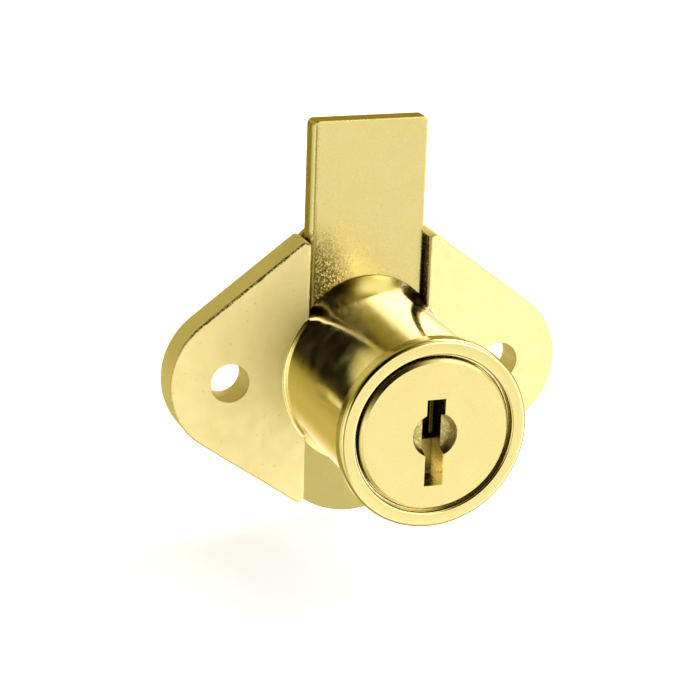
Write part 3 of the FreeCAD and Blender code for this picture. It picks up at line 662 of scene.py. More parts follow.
@dataclass(frozen=True)
class Bolt(Piece):
    """The flat dead bolt with its cross slot for the drive pin."""

    name, body, slot, node = "dead_bolt", "bolt", "plated_bolt", "bolt"

    half_width: float = 7.9 * MM
    front: float = 1.7 * MM
    back: float = 4.6 * MM
    tip: float = 34.1 * MM
    tail: float = -8.5 * MM
    left_tip_corner: float = 0.8 * MM
    right_tip_corner: float = 0.5 * MM
    tail_corner: float = 4.0 * MM
    left_rounding: float = 0.7 * MM
    right_rounding: float = 0.16 * MM
    end_rounding: float = 0.14 * MM
    face_frame: float = 1.0 * MM
    frame_corner: float = 0.1 * MM
    frame_level: float = 10.0 * MM
    wall_start: float = 0.95 * MM
    back_rounding: float = 0.3 * MM
    crease_depth: float = 0.05 * MM
    crease_width: float = 0.08 * MM
    slot_half_width: float = 6.31 * MM
    slot_bottom: float = 2.163 * MM
    slot_top: float = 7.357 * MM
    slot_corner: float = 1.0 * MM
    slot_depth_margin: float = 0.15 * MM
    slot_face_margin: float = 0.12 * MM
    # A soft ellipse on the front at the lower left that is darker, speckled and bumpier.
    stain_centre: tuple[float, float] = (-7.6 * MM, 12.0 * MM)
    stain_reach: tuple[float, float] = (6.0 * MM, 8.4 * MM)
    stain_fade: tuple[float, float] = (0.4, 16 / 15)
    stain_depth: float = 0.02 * MM

    def frame_row(self, outline: np.ndarray, normal: np.ndarray) -> np.ndarray:
        """The edge of the flat middle of the front face, a fixed distance inside the outline.

        Above the slot it is a smaller rectangle: each point is first drawn in to the corner arcs' centres,
        then scaled so that those centres lie a little over the distance inside, and a tenth of a millimetre
        of the outline's normal rounds its corners. Below it is the outline moved in along its normal.

        Args:
            outline: The bolt's outline.
            normal: The outline's outward normals.

        Returns:
            One point for each point of the outline.
        """
        soft, level = self.frame_corner, self.frame_level
        corner = np.where(outline[:, 0] < 0, self.left_tip_corner, self.right_tip_corner)
        core_x, core_z = self.half_width - corner, self.tip - corner
        inner = np.array([self.half_width, self.tip]) - self.face_frame - soft
        x = np.clip(outline[:, 0], -core_x, core_x) * inner[0] / core_x
        z = level + (np.minimum(outline[:, 1], core_z) - level) * (inner[1] - level) / (core_z - level)
        upper = np.stack([x, z], -1) + soft * normal
        return np.where(outline[:, 1:] > level, upper, outline - self.face_frame * normal)

    def slot_rim(self, centre: np.ndarray, ray: np.ndarray) -> np.ndarray:
        """Where each ray from the slot's centre meets its rim: the radius is read off by the ray's angle."""
        corners = box_corners(self.slot_half_width, self.slot_bottom, self.slot_top)
        slot = rounded_outline(corners, [self.slot_corner] * 4, 0.2 * MM) - centre
        angle = np.arctan2(slot[:, 1], slot[:, 0])
        order = np.argsort(angle)
        radius = np.linalg.norm(slot, axis=1)[order]
        reach = np.interp(np.arctan2(ray[:, 1], ray[:, 0]), angle[order], radius, period=2 * math.pi)
        return centre + ray * reach[:, None]

    def build(self) -> bpy.types.Object:
        """Carries a section round the pin slot.

        Each column starts on the slot's rim, on the ray through one point of the face's frame, and goes on to
        the outline. The front edge's radius goes from the ends' small one to that of the left or right side
        with the outline normal's x, and inside the sides' rounding runs the fine crease that the coining die
        leaves. A soft ellipse on the front, at the lower left, is darker, speckled and bumpier.

        Returns:
            The bolt.
        """
        radii = [self.tail_corner, self.tail_corner, self.right_tip_corner, self.left_tip_corner]
        outline = rounded_outline(box_corners(self.half_width, self.tail, self.tip), radii, 0.3 * MM)
        centre = np.array([0.0, (self.slot_bottom + self.slot_top) / 2])
        normal = outline_normals(outline, centre)
        face_edge = self.frame_row(outline, normal)
        ray = unit(face_edge - centre)
        rim = self.slot_rim(centre, ray)
        sideways = ramp(np.abs(normal[:, 0]), 0.5, 1.0)
        side = np.where(normal[:, 0] < 0, self.left_rounding, self.right_rounding)
        radius = self.end_rounding + (side - self.end_rounding) * sideways
        crease, margin = self.crease_depth * sideways, self.slot_depth_margin
        back, front = self.back, self.front
        inner = rim + ray * self.slot_face_margin
        grid = Grid(len(outline))
        grid.wall(rim, np.linspace(back - margin, front + margin, 4))
        grid.fill(inner, face_edge, np.linspace(0, 1, 18), front)
        for width, depth in ((1.0, 0.0), (0.6, 0.85)):
            grid.add(outline - normal * (radius + self.crease_width * width)[:, None], front + crease * depth)
        grid.bend(outline, normal, radius, front + crease, 1, (0, 90), 10, bend_wear(0.5))
        grid.wall(outline, np.linspace(front + self.wall_start, back - self.back_rounding * 1.2, 4))
        grid.bend(outline, normal, self.back_rounding, back, -1, (90, 0), 6, bend_wear(0.5))
        grid.fill(inner, outline - normal * (self.back_rounding + FACE_MARGIN), np.linspace(1, 0, 12), back)
        shell = grid.shell(Ends.JOINED)
        # The darker, speckled patch at the lower left of the front.
        away = np.linalg.norm((shell.points[:, ::2] - self.stain_centre) / self.stain_reach, axis=1)
        shell.stain = (1 - ramp(away, *self.stain_fade)) * (shell.points[:, 1] < front + self.stain_depth)
        return make_object(self.name, [shell])


@dataclass(frozen=True)
class BackCover(Piece):
    """The stamped plate that closes the bolt's channel, with full round ends."""

    name, body, slot, node = "channel_cover", "lock_case", "plated_plate", "back_cover"

    half_width: float = 11.4 * MM
    reach: float = 21.6 * MM
    front: float = 4.8 * MM
    back: float = 6.0 * MM
    front_rounding: float = 0.15 * MM
    back_rounding: float = 0.3 * MM

    def build(self) -> bpy.types.Object:
        """Carries the plate's edge section round its outline and closes both faces at the middle."""
        width, reach, lip, back = self.half_width, self.reach, self.front_rounding, self.back_rounding
        outline = rounded_outline(box_corners(width, -reach, reach), [width] * 4, 0.4 * MM)
        normal = outline_normals(outline, np.zeros(2))
        spine = np.stack([np.zeros(len(outline)), np.clip(outline[:, 1], width - reach, reach - width)], -1)
        shares = np.linspace(0.02, 1, 12)
        grid = Grid(len(outline))
        grid.fill(spine, outline - normal * lip * 1.3, shares, self.front)
        grid.bend(outline, normal, lip, self.front, 1, (0, 90), 5, bend_wear(0.5))
        grid.bend(outline, normal, back, self.back, -1, (90, 0), 7, bend_wear(0.6))
        grid.fill(spine, outline - normal * back * 1.2, shares[::-1], self.back)
        return make_object(self.name, [grid.shell(Ends.CAPPED)])


@dataclass(frozen=True)
class CoilSpring:
    """A small compression spring of round wire."""

    outer_diameter: float = 1.1 * MM
    wire: float = 0.25 * MM
    turns: float = 5.0
    turn_steps: int = 28
    ring_steps: int = 8
    end_ease: float = 0.09

    def build(self, name: str, centre: tuple[float, float], bottom: float, top: float) -> bpy.types.Object:
        """Winds the wire upwards along Z.

        At the share s of the wire the point lies at the angle 2 pi turns s round the axis. Its height follows
        s, eased at both ends so that the end turns lie nearly flat. Each ring of the wire lies square to the
        path: its axes are Z less its part along the path, and the cross product of the path and that.

        Args:
            name: The piece's name.
            centre: The x and y of the spring's axis.
            bottom: The lowest z.
            top: The highest z.

        Returns:
            The spring.
        """
        s = np.linspace(0, 1, int(self.turns * self.turn_steps) + 1)
        angle = 2 * math.pi * self.turns * s
        share = s - self.end_ease * np.sin(2 * math.pi * s)
        height = bottom + self.wire / 2 + (top - bottom - self.wire) * share
        coil = (self.outer_diameter - self.wire) / 2
        path = np.stack([centre[0] + coil * np.cos(angle), centre[1] + coil * np.sin(angle), height], -1)
        along = unit(np.gradient(path, axis=0))
        side = unit(np.array([0.0, 0.0, 1.0]) - along[:, 2:] * along)
        t = np.linspace(0, 2 * math.pi, self.ring_steps, endpoint=False)[:, None]
        ring = side[:, None] * np.cos(t) + np.cross(along, side)[:, None] * np.sin(t)
        return make_object(name, [lattice(path[:, None] + self.wire / 2 * ring, Ends.CAPPED)], crease=60.0)

    def dress(self, finishes: Finishes, node: str) -> None:
        """Winds a coil in the place of one spring node and lets it ride with the plug."""
        low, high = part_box(node)
        centre = ((low.x + high.x) / 2, (low.y + high.y) / 2)
        mount(self.build(f"{node}_coil", centre, low.z, high.z), "plug", "spring_steel", finishes, node)


@dataclass(frozen=True)
class DrivePin(Piece):
    """The hard pin at the back of the plug, off its axis."""

    name, body, slot, node = "drive_pin_body", "plug", "hard_steel", "drive_pin"

    radius: float = 1.4 * MM
    rounding: float = 0.2 * MM
    front: float = -0.9 * MM
    back: float = 4.4 * MM
    height: float = 4.76 * MM

    def build(self) -> bpy.types.Object:
        """Spins the pin's side and its two rounded ends about its own axis."""
        radius, small = self.radius, self.rounding
        profile = np.concatenate([
            [(NEAR_AXIS, self.front), (radius - small * 1.5, self.front)],
            arc((radius - small, self.front + small), small, -90, 0, 6),
            arc((radius - small, self.back - small), small, 0, 90, 6),
            [(radius - small * 1.5, self.back), (NEAR_AXIS, self.back)],
        ])
        return make_object(self.name, [spin(profile, Ends.CAPPED, 64, (0.0, self.height))])


@dataclass(frozen=True)
class KeyPlug(Piece):
    """The die cast plug: its head, keyway and tip dimple, with the retainer plate in its slot."""

    name, body, slot, node = "key_plug", "plug", "plated_plug", "plug"

    edge_rounding: float = 0.16 * MM
    crease: float = 28.0
    merge_step: float = 0.0005 * MM
    dimple_radius: float = 2.9 * MM
    dimple_floor_radius: float = 2.45 * MM
    dimple_floor: float = -23.6 * MM
    keyway_half_width: float = 1.225 * MM

    def shape_dimple(self, points: np.ndarray) -> np.ndarray:
        """Draws the dimple's floor in, so that its wall is a cone.

        A floor point keeps its side of the keyway. Its x beyond the keyway's side shrinks by the ratio of the
        two radii less the half width, and its z by the ratio of the heights at which the circles meet the
        keyway.

        Args:
            points: The plug's points.

        Returns:
            The points with the floor's edge moved.
        """
        wide, narrow, slot = self.dimple_radius, self.dimple_floor_radius, self.keyway_half_width
        x, y, z = points.T
        edge = (np.abs(y - self.dimple_floor) < 0.02 * MM) & (np.abs(np.hypot(x, z) - wide) < 0.03 * MM)
        beyond = np.maximum(np.abs(x) - slot, 0.0) * (narrow - slot) / (wide - slot)
        new_x = np.sign(x) * (np.minimum(np.abs(x), slot) + beyond)
        new_z = z * math.sqrt(narrow ** 2 - slot ** 2) / math.sqrt(wide ** 2 - slot ** 2)
        return np.where(edge[:, None], np.stack([new_x, y, new_z], -1), points)

    def build(self) -> bpy.types.Object:
        """Copies the construction's plug, with its dimple made a cone.

        Points in the same cell of a fine grid become one, which joins the loose triangles, and every edge
        sharper than the crease angle gets a small rounding.

        Returns:
            The plug.
        """
        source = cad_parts[self.node].data
        points = np.zeros(len(source.vertices) * 3, np.float32)
        source.vertices.foreach_get("co", points)
        points = points.reshape(-1, 3).astype(float)
        loops = np.zeros(len(source.loops), np.int32)
        source.loops.foreach_get("vertex_index", loops)
        cells = np.round(points / self.merge_step).astype(np.int64)
        first, where = np.unique(cells, axis=0, return_index=True, return_inverse=True)[1:]
        triangles = where.reshape(-1)[loops].reshape(-1, 3)
        a, b, c = triangles.T
        triangles = triangles[(a != b) & (b != c) & (a != c)]
        shell = Shell(self.shape_dimple(points[first]), np.zeros((0, 4), int), triangles)
        piece = make_object(self.name, [shell], self.crease)
        rounding = piece.modifiers.new("edge_rounding", "BEVEL")
        rounding.width = self.edge_rounding
        rounding.segments = 3
        rounding.limit_method = "ANGLE"
        rounding.angle_limit = math.radians(self.crease)
        rounding.use_clamp_overlap = True
        rounding.harden_normals = True
        return piece

    def dress(self, finishes: Finishes) -> None:
        """Builds the plug and finishes the retainer that sits in it."""
        super().dress(finishes)
        paint_node("plug_retainer", finishes["disc_brass"])


@dataclass(frozen=True)
class DiscStack:
    """The six disc tumblers and their springs, with the retainer's spring."""

    discs: int = 6
    spring: CoilSpring = CoilSpring()

    def dress(self, finishes: Finishes) -> None:
        """Finishes the stamped discs and winds a coil for each spring."""
        numbers = range(1, self.discs + 1)
        for number in numbers:
            paint_node(f"disc_tumbler_{number}", finishes["disc_brass"])
        for node in [f"disc_spring_{number}" for number in numbers] + ["retainer_spring"]:
            self.spring.dress(finishes, node)


class Wiring:
    """Short words for adding and joining the nodes of one tree.

    Wherever a method takes a source, it is a socket to link or a constant to set.
    """

    def __init__(self, tree: bpy.types.NodeTree) -> None:
        """Keeps the tree."""
        self.tree = tree

    def feed(self, target: Socket, source: Source) -> None:
        """Gives an input its source."""
        if isinstance(source, bpy.types.NodeSocket):
            self.tree.links.new(source, target)
        else:
            target.default_value = source

    def node(self, kind: str, **settings: object) -> bpy.types.Node:
        """Adds a node of a kind, such as ShaderNodeMath, and sets its properties."""
        made = self.tree.nodes.new(kind)
        for key, value in settings.items():
            setattr(made, key, value)
        return made

    def group(self, name: str, place: Socket, sources: dict[str, Source]) -> bpy.types.NodeOutputs:
        """Adds a group that works at a place, with the sources of its other inputs; returns its outputs."""
        made = self.node("ShaderNodeGroup", node_tree=bpy.data.node_groups[name])
        for title, source in {"Vector": place, **sources}.items():
            self.feed(made.inputs[title], source)
        return made.outputs

    def value(self, operation: str, *operands: Source) -> Socket:
        """A Math node of the operation; returns its result."""
        made = self.node("ShaderNodeMath", operation=operation)
        for socket, operand in zip(made.inputs, operands):
            self.feed(socket, operand)
        return made.outputs[0]

    def times(self, first: Source, *others: Source) -> Socket:
        """The product of all factors."""
        for factor in others:
            first = self.value("MULTIPLY", first, factor)
        return first

    def highest(self, first: Source, *others: Source) -> Socket:
        """The highest of all values."""
        for other in others:
            first = self.value("MAXIMUM", first, other)
        return first

    def spread(self, source: Socket, low: float, high: float, to_low: float = 0.0,
               to_high: float = 1.0) -> Socket:
        """Maps the range low to high onto to_low to to_high, clamped and eased; returns the result."""
        made = self.node("ShaderNodeMapRange", interpolation_type="SMOOTHSTEP")
        for socket, operand in zip(made.inputs, (source, low, high, to_low, to_high)):
            self.feed(socket, operand)
        return made.outputs[0]

    def mix(self, share: Socket, first: Source, second: Source) -> Socket:
        """Mixes two colours by a share; returns the mixed colour."""
        made = self.node("ShaderNodeMix", data_type="RGBA")
        for index, source in ((0, share), (6, first), (7, second)):
            self.feed(made.inputs[index], source)
        return made.outputs[2]

    def noise(self, vector: Socket, scale: Source, detail: float, roughness: float) -> Socket:
        """A Noise Texture on the vector; returns its value."""
        made = self.node("ShaderNodeTexNoise")
        sources = {"Vector": vector, "Scale": scale, "Detail": detail, "Roughness": roughness}
        for title, source in sources.items():
            self.feed(made.inputs[title], source)
        return made.outputs[0]


GroupParts = tuple[Wiring, bpy.types.NodeOutputs, bpy.types.NodeInputs]


def new_group(name: str, inputs: dict[str, float], outputs: Sequence[str]) -> GroupParts:
    """Makes an empty shader node group with a Vector input and number sockets.

    Args:
        name: The group's name.
        inputs: The default value of each number input.
        outputs: The names of its number outputs.

    Returns:
        Its wiring, what it is given and where its results go.
    """
    group = bpy.data.node_groups.new(name, "ShaderNodeTree")
    group.interface.new_socket("Vector", in_out="INPUT", socket_type="NodeSocketVector")
    for title, default in inputs.items():
        socket = group.interface.new_socket(title, in_out="INPUT", socket_type="NodeSocketFloat")
        socket.default_value = default
    for title in outputs:
        group.interface.new_socket(title, in_out="OUTPUT", socket_type="NodeSocketFloat")
    given, result = group.nodes.new("NodeGroupInput"), group.nodes.new("NodeGroupOutput")
    return Wiring(group), given.outputs, result.inputs


def cast_grain_group() -> None:
    """The fine grain of a plated casting: soft bumps, with sparse pits where a second noise is high."""
    net, given, result = new_group("cast_grain", {"Grain Scale": 4000, "Pits": 0.3}, ("Height", "Pit Mask"))
    vector, scale = given["Vector"], given["Grain Scale"]
    fine = net.noise(vector, scale, 2.0, 0.6)
    broad = net.noise(vector, net.times(scale, 0.16), 1.0, 0.5)
    sparse = net.noise(vector, net.times(scale, 0.55), 1.0, 0.4)
    mask = net.times(net.spread(sparse, 0.66, 0.78), given["Pits"])
    height = net.value("MULTIPLY_ADD", broad, 0.7, fine)
    net.feed(result["Height"], net.value("SUBTRACT", height, mask))
    net.feed(result["Pit Mask"], mask)


def clouds_group() -> None:
    """Slow soft clouds for tone and roughness, from a low to a high value."""
    net, given, result = new_group("polish_clouds", {"Cloud Scale": 300, "Low": 0, "High": 1}, ("Value",))
    cloud = net.spread(net.noise(given["Vector"], given["Cloud Scale"], 3.0, 0.55), 0.3, 0.7)
    width = net.value("SUBTRACT", given["High"], given["Low"])
    net.feed(result["Value"], net.value("MULTIPLY_ADD", cloud, width, given["Low"]))


def edge_wear_group() -> None:
    """A broken mask along worn edges: the edge attribute, eaten away by noise."""
    net, given, result = new_group("edge_wear", {"Edge": 0, "Amount": 0.5}, ("Mask",))
    speck = net.noise(given["Vector"], 1500.0, 3.0, 0.7)
    raised = net.value("ADD", net.times(speck, 1.2), net.value("SUBTRACT", given["Edge"], 1.05))
    net.feed(result["Mask"], net.times(net.spread(raised, 0.15, 0.45), given["Amount"]))


def recess_group() -> None:
    """Masks of the hollow places round the Y axis.

    Shadow is painted shade: high deeper than the depth and nearer to the axis than the radius, less Cast and
    less at the keyway's lower end, where painted light falls on its floor. Cast is 1 nearer to the axis than
    the dimple's radius, outside the keyway's half width and above the dimple's floor. The third mask is
    painted shade on the lower left of the dimple's wall.
    """
    keyway_side, keyway_reach, fade = 1.26 * MM, 8.0 * MM, 0.25 * MM
    keyway_end, keyway_middle, end_light = -5.6 * MM, -2.5 * MM, 0.8
    deepest, rim_start, rim_full, rim_shade = 0.86, 0.82, 0.92, 0.9
    leftwards, downwards, crescent_start, crescent_full = -0.6, -0.8, -0.4 * MM, 0.6 * MM
    inputs = {"Depth": 0, "Radius": 0, "Dimple Radius": 0, "Dimple Floor": 0}
    net, given, result = new_group("recess", inputs, ("Shadow", "Cast", "Dimple Shade"))
    parts = net.node("ShaderNodeSeparateXYZ")
    net.feed(parts.inputs[0], given["Vector"])
    x, y, z = parts.outputs
    radius = net.value("SQRT", net.value("ADD", net.times(x, x), net.times(z, z)))
    beside = net.value("GREATER_THAN", net.value("ABSOLUTE", x), keyway_side)
    near = net.value("LESS_THAN", radius, given["Dimple Radius"])
    cast = net.times(near, beside, net.value("LESS_THAN", y, given["Dimple Floor"]))
    below = net.value("DIVIDE", net.value("SUBTRACT", y, given["Depth"]), fade)
    deep = net.spread(below, 0.0, 1.0)
    inside = net.times(deep, net.value("LESS_THAN", radius, given["Radius"]))
    in_keyway = net.times(net.value("SUBTRACT", 1.0, beside), net.value("LESS_THAN", radius, keyway_reach))
    lit = net.highest(cast, net.times(in_keyway, net.spread(z, keyway_end, keyway_middle, end_light, 0.0)))
    # Painted shade on the dimple's rim, towards its lower left.
    rim_share = net.value("DIVIDE", radius, given["Dimple Radius"])
    rim = net.spread(rim_share, rim_start, rim_full, 0.0, rim_shade)
    lower_left = net.value("MULTIPLY_ADD", x, leftwards, net.times(z, downwards))
    turned = net.spread(lower_left, crescent_start, crescent_full)
    # Painted shade in the hollows, lifted by the painted light on the keyway's floor.
    net.feed(result["Shadow"], net.times(inside, net.value("SUBTRACT", deepest, lit)))
    net.feed(result["Cast"], cast)
    net.feed(result["Dimple Shade"], net.times(rim, turned, cast))


BRIGHT_BRASS = (0.73, 0.61, 0.225)
OLD_BRASS = (0.62, 0.46, 0.10)
BOLT_BRASS = (0.61, 0.51, 0.182)
# The cover's colour is darker to paint the shade that falls on it at the bottom of the bolt's channel.
SHADED_COVER_BRASS = (0.44, 0.36, 0.105)
CAST_BRASS = (0.98, 0.84, 0.37)
DISC_BRASS = (0.62, 0.51, 0.15)
STEEL = (0.56, 0.55, 0.53)
OLD_STEEL = (0.3, 0.29, 0.27)
SPRING_STEEL = (0.6, 0.6, 0.6)
OLD_SPRING = (0.35, 0.33, 0.3)
EDGE_TINT = (0.88, 0.78, 0.50)
DULL_EDGE_TINT = (0.72, 0.60, 0.20)
MIRRORED_TONE = (0.95, 0.90, 0.77, 1.0)
# The dark tone of painted shade in recesses and of speckled dark patches.
SHADE_AND_DARK_PATCH_TONE = (0.13, 0.095, 0.012, 1.0)
MIRRORED_ROUGHNESS = 0.18
WORN_ROUGHNESS = 0.25
CAST_ROUGHNESS = 0.2
ROUGH_CLOUD_RATIO = 1.7
SPECK_SCALE = 3400.0


@dataclass(frozen=True)
class Hollow:
    """Where a finish gets painted shade, or is rough, in a hollow round the Y axis; all zero for a finish
    without one.
    """

    depth: float = 0.0
    radius: float = 0.0
    dimple_radius: float = 0.0
    dimple_floor: float = 0.0


@dataclass(frozen=True)
class MetalFinish:
    """One metal finish.

    colour is the clean metal, tarnish the tone in clouds, pits and worn edges. rough is the satin's lowest
    and highest roughness, clouds the clouds' scale and strength, and grain the bumps' scale and height.
    Scales are in cycles per metre and the height is in metres. polish_drop is added to the roughness where
    a surface is mirror polished.
    """

    name: str
    colour: Colour
    tarnish: Colour
    rough: tuple[float, float]
    clouds: tuple[float, float]
    grain: tuple[float, float]
    pits: float
    wear: float
    hollow: Hollow = Hollow()
    speckling: float = 0.95
    ruggedness: float = 3.0
    polish_drop: float = 0.0
    edge_tint: Colour = EDGE_TINT

    def build(self) -> bpy.types.Material:
        """Builds the material: clouds, grain, speckled dark patches and painted shade set the tone, clouds
        the roughness and grain the bump.

        Seen in another metal surface the metal is paler and smoother: the tint of brass upon brass turns
        orange, and satin upon satin turns to fog, which plated parts in a light tent don't show.

        Returns:
            The material.
        """
        material = bpy.data.materials.new(self.name)
        material.use_nodes = True
        net = Wiring(material.node_tree)
        shader = material.node_tree.nodes["Principled BSDF"].inputs
        place = net.node("ShaderNodeTexCoord").outputs["Object"]
        edge, polished, stain = (
            net.node("ShaderNodeAttribute", attribute_name=title).outputs["Fac"] for title in ATTRIBUTES)
        mirrored = net.value("GREATER_THAN", net.node("ShaderNodeLightPath").outputs["Ray Depth"], 0.5)
        scale, strength = self.clouds
        fine, height = self.grain
        low, high = self.rough
        grain = net.group("cast_grain", place, {"Grain Scale": fine, "Pits": self.pits})
        tone = net.group("polish_clouds", place, {"Cloud Scale": scale, "High": strength})
        rough_clouds = {"Cloud Scale": scale * ROUGH_CLOUD_RATIO, "Low": low, "High": high}
        polish = net.group("polish_clouds", place, rough_clouds)
        wear = net.group("edge_wear", place, {"Edge": edge, "Amount": self.wear})
        hollow = {title.replace("_", " ").title(): size for title, size in asdict(self.hollow).items()}
        recess = net.group("recess", place, hollow)
        worn = net.highest(wear["Mask"], grain["Pit Mask"])
        aged = net.mix(net.highest(worn, tone["Value"]), (*self.colour, 1.0), (*self.tarnish, 1.0))
        rugged = net.highest(stain, recess["Cast"])
        specks = net.spread(net.noise(place, SPECK_SCALE, 1.0, 0.5), 0.42, 0.64, 1.0, 0.2)
        # The dark share: speckled darkening from the attribute and the cast dimple, and painted shade in the
        # hollows and on the dimple's lower left.
        dark = net.highest(net.times(rugged, specks, self.speckling), recess["Shadow"], recess["Dimple Shade"])
        satin = net.value("MULTIPLY_ADD", worn, WORN_ROUGHNESS, polish["Value"])
        smooth = net.value("ADD", satin, net.times(polished, self.polish_drop))
        rough = net.value("MULTIPLY_ADD", recess["Cast"], CAST_ROUGHNESS, smooth)
        sharper = net.value("MULTIPLY_ADD", mirrored, MIRRORED_ROUGHNESS - 1.0, 1.0)
        swell = net.value("MULTIPLY_ADD", net.value("MINIMUM", rugged, 1.0), self.ruggedness, 1.0)
        bump = net.node("ShaderNodeBump")
        net.feed(bump.inputs["Strength"], 1.0)
        net.feed(bump.inputs["Distance"], height)
        net.feed(bump.inputs["Height"], net.times(grain["Height"], swell))
        sources = {
            "Metallic": 1.0,
            "Specular Tint": (*self.edge_tint, 1.0),
            "Base Color": net.mix(dark, net.mix(mirrored, aged, MIRRORED_TONE), SHADE_AND_DARK_PATCH_TONE),
            "Roughness": net.times(rough, sharper),
            "Normal": bump.outputs["Normal"],
        }
        for title, source in sources.items():
            net.feed(shader[title], source)
        return material


FINISHES = (
    MetalFinish(
        "plated_casting", CAST_BRASS, OLD_BRASS, (0.58, 0.66), (260, 0.08), (3500, 0.006 * MM), 0.25, 0.5,
        polish_drop=-0.48),
    # The ring's hollow paints shade on the wall of its opening.
    MetalFinish(
        "plated_ring", BRIGHT_BRASS, OLD_BRASS, (0.12, 0.18), (300, 0.06), (3000, 0.002 * MM), 0.05, 0.2,
        Hollow(-24.62 * MM, 10.7 * MM)),
    # The plug's hollow paints shade in its keyway and on the side of its head, and on the lower left of its
    # dimple.
    MetalFinish(
        "plated_plug", BRIGHT_BRASS, OLD_BRASS, (0.22, 0.32), (330, 0.12), (3500, 0.004 * MM), 0.2, 0.2,
        Hollow(-24.8 * MM, 12.0 * MM, 2.95 * MM, -23.5 * MM), speckling=0.5, ruggedness=20.0),
    MetalFinish(
        "plated_bolt", BOLT_BRASS, OLD_BRASS, (0.22, 0.30), (240, 0.14), (4500, 0.015 * MM), 0.5, 0.3,
        edge_tint=DULL_EDGE_TINT),
    MetalFinish(
        "plated_plate", SHADED_COVER_BRASS, OLD_BRASS, (0.26, 0.34), (260, 0.14), (3600, 0.008 * MM), 0.3, 0.3),
    MetalFinish(
        "disc_brass", DISC_BRASS, OLD_BRASS, (0.25, 0.4), (400, 0.3), (4000, 0.01 * MM), 0.5, 0.3),
    MetalFinish(
        "hard_steel", STEEL, OLD_STEEL, (0.2, 0.3), (400, 0.2), (5000, 0.004 * MM), 0.2, 0.3),
    MetalFinish(
        "spring_steel", SPRING_STEEL, OLD_SPRING, (0.2, 0.3), (600, 0.2), (5000, 0.002 * MM), 0.1, 0.2),
)


@dataclass(frozen=True)
class LockAssembly:
    """The whole lock, put together from its sub-assemblies."""

    housing: Housing = Housing()
    ring: BezelRing = BezelRing()
    cover: BackCover = BackCover()
    bolt: Bolt = Bolt()
    plug: KeyPlug = KeyPlug()
    pin: DrivePin = DrivePin()
    stack: DiscStack = DiscStack()

    def build(self, finishes: Finishes) -> None:
        """Builds and dresses the sub-assemblies in order."""
        for part in (self.housing, self.ring, self.cover, self.bolt, self.plug, self.pin, self.stack):
            part.dress(finishes)


@dataclass(frozen=True)
class TentPatch:
    """A soft round patch of the surroundings.

    direction points to it from the lock. It is full up to the inner angle from there and gone at the outer
    one, in degrees, and there it changes the level of the light.
    """

    direction: tuple[float, float, float]
    inner: float
    outer: float
    change: float


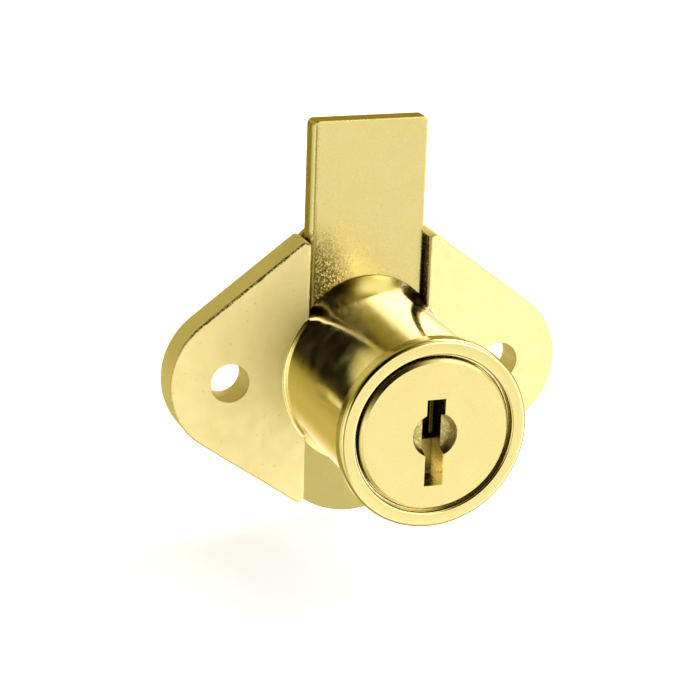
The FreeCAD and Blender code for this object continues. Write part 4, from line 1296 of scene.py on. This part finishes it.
@dataclass(frozen=True)
class Studio:
    """The pale floor, the soft light and the camera at the photograph's angle.

    Angles are in degrees. lens is the focal length in millimetres, as cameras have it.
    """

    yaw: float = 20.154
    pitch: float = 18.262
    roll: float = 2.005
    distance: float = 324.0 * MM
    shift_right: float = 2.2532 * MM
    shift_up: float = -2.955 * MM
    lens: float = 124.9
    floor_gap: float = 0.5 * MM
    floor_half: float = 1.6
    floor_colour: Colour = (0.86, 0.86, 0.85)
    floor_glow: float = 0.6
    box_place: tuple[float, float, float] = (0.55, 0.15, 0.65)
    box_width: float = 0.7
    box_watts: float = 3.0
    tent_level: float = 0.28
    white_level: float = 1.24
    white_limit: float = 1.3
    green_fall: float = 0.09
    blue_fall: float = 0.9
    patches: tuple[TentPatch, ...] = (
        TentPatch((0.66, -0.70, -0.28), 28.0, 52.0, 0.75),
        TentPatch((0.93, -0.30, -0.20), 20.0, 45.0, 0.75),
        TentPatch((-0.90, -0.25, -0.30), 20.0, 42.0, 0.85),
        TentPatch((-0.80, -0.58, -0.15), 8.0, 24.0, 0.5),
        TentPatch((0.52, -0.80, 0.30), 13.0, 22.0, 2.2),
        TentPatch((0.05, -1.0, -0.05), 7.0, 20.0, 0.6),
        TentPatch((0.38, -0.45, 0.80), 8.0, 22.0, 0.9),
        TentPatch((-0.41, -0.87, 0.28), 14.0, 27.0, -0.5),
        TentPatch((-0.36, 0.88, 0.30), 6.0, 16.0, 0.3),
        TentPatch((-0.50, -0.82, -0.28), 8.0, 24.0, 0.18),
        TentPatch((0.1, -0.5, -0.85), 20.0, 60.0, 0.48),
        TentPatch((-0.1, -0.6, -0.79), 8.0, 24.0, 0.8),
        TentPatch((0.0, 1.0, 0.0), 50.0, 85.0, 0.2),
        TentPatch((0.30, 0.88, -0.30), 8.0, 28.0, 0.9),
        TentPatch((-0.78, 0.58, -0.22), 8.0, 26.0, 0.6),
        TentPatch((0.68, 0.10, 0.72), 16.0, 32.0, 1.3),
        TentPatch((-0.47, -0.45, 0.745), 15.0, 40.0, -0.3),
        TentPatch((-0.45, 0.89, -0.05), 4.0, 17.0, -0.15),
    )

    def camera(self) -> None:
        """Sets the camera from its turn, tilt and roll.

        back points from the lock to the camera. right and up span its picture, rolled about back, and the
        camera's place is the distance along back less the two shifts along right and up.
        """
        yaw, pitch, roll = (math.radians(angle) for angle in (self.yaw, self.pitch, self.roll))
        back = Vector((-math.sin(yaw) * math.cos(pitch), -math.cos(yaw) * math.cos(pitch), math.sin(pitch)))
        level = Vector((math.cos(yaw), -math.sin(yaw), 0.0))
        upright = back.cross(level)
        right = level * math.cos(roll) + upright * math.sin(roll)
        up = upright * math.cos(roll) - level * math.sin(roll)
        place = back * self.distance - right * self.shift_right - up * self.shift_up
        data = bpy.data.cameras.new("studio_camera")
        data.lens = self.lens
        data.clip_start = 0.01
        data.clip_end = 20.0
        camera = add_object("studio_camera", data)
        camera.matrix_world = Matrix.Translation(place) @ Matrix((right, up, back)).transposed().to_4x4()
        bpy.context.scene.camera = camera

    def floor(self) -> None:
        """Lays the pale floor just under the lock; to the camera it also glows a little."""
        half, z = self.floor_half, CAD_BOX[0][2] - self.floor_gap
        mesh = bpy.data.meshes.new("floor")
        mesh.from_pydata([(x, y, z) for x, y in box_corners(half, -half, half)], [], [(0, 1, 2, 3)])
        mesh.update()
        material = bpy.data.materials.new("pale_floor")
        material.use_nodes = True
        net = Wiring(material.node_tree)
        seen = net.node("ShaderNodeLightPath").outputs["Is Camera Ray"]
        sources = {
            "Base Color": (*self.floor_colour, 1.0),
            "Roughness": 0.9,
            "Specular IOR Level": 0.0,
            "Emission Color": (1.0, 1.0, 1.0, 1.0),
            "Emission Strength": net.times(seen, self.floor_glow),
        }
        for title, source in sources.items():
            net.feed(material.node_tree.nodes["Principled BSDF"].inputs[title], source)
        mesh.materials.append(material)
        floor = add_object("floor", mesh)
        floor.visible_glossy = False

    def soft_box(self) -> None:
        """Hangs a square soft box that faces the lock."""
        data = bpy.data.lights.new("key_box", "AREA")
        data.shape = "RECTANGLE"
        data.size = self.box_width
        data.size_y = self.box_width
        data.energy = self.box_watts
        facing = Vector(self.box_place).to_track_quat("Z", "Y").to_matrix().to_4x4()
        add_object("key_box", data).matrix_world = Matrix.Translation(self.box_place) @ facing

    def surroundings(self) -> None:
        """Fills the world: white to the camera, and for reflections a soft tent of light and dark patches.

        The share of a patch is a smooth step of the cosine between a ray and the patch's middle. The tent's
        shade is warm: green and blue fall with a power of the level over the white level.
        """
        world = bpy.data.worlds.new("studio")
        bpy.context.scene.world = world
        world.use_nodes = True
        net = Wiring(world.node_tree)
        ray = net.node("ShaderNodeTexCoord").outputs["Generated"]
        level: Source = self.tent_level
        for patch in self.patches:
            dot = net.node("ShaderNodeVectorMath", operation="DOT_PRODUCT")
            net.feed(dot.inputs[0], ray)
            net.feed(dot.inputs[1], Vector(patch.direction).normalized())
            low, high = math.cos(math.radians(patch.outer)), math.cos(math.radians(patch.inner))
            mask = net.spread(dot.outputs["Value"], low, high)
            level = net.value("ADD", level, net.times(mask, patch.change))
        seen = net.node("ShaderNodeLightPath").outputs["Is Camera Ray"]
        strength = net.highest(level, 0.0, seen)
        share = net.highest(net.value("DIVIDE", strength, self.white_level), seen)
        share = net.value("MINIMUM", share, self.white_limit)
        colour = net.node("ShaderNodeCombineColor")
        net.feed(colour.inputs[0], 1.0)
        net.feed(colour.inputs[1], net.value("POWER", share, self.green_fall))
        net.feed(colour.inputs[2], net.value("POWER", share, self.blue_fall))
        background = world.node_tree.nodes["Background"].inputs
        net.feed(background["Strength"], strength)
        net.feed(background["Color"], colour.outputs[0])
        bpy.context.scene.view_settings.view_transform = "Standard"

    def build(self) -> None:
        """Sets up the camera, the floor, the surroundings and the soft box."""
        self.camera()
        self.floor()
        self.surroundings()
        self.soft_box()


def main() -> None:
    """Builds the finishes, the lock and the studio."""
    logging.basicConfig(level=logging.INFO, format="%(name)s: %(message)s")
    for make_group in (cast_grain_group, clouds_group, edge_wear_group, recess_group):
        make_group()
    LockAssembly().build({finish.name: finish.build() for finish in FINISHES})
    Studio().build()


if __name__ == "__main__":
    main()
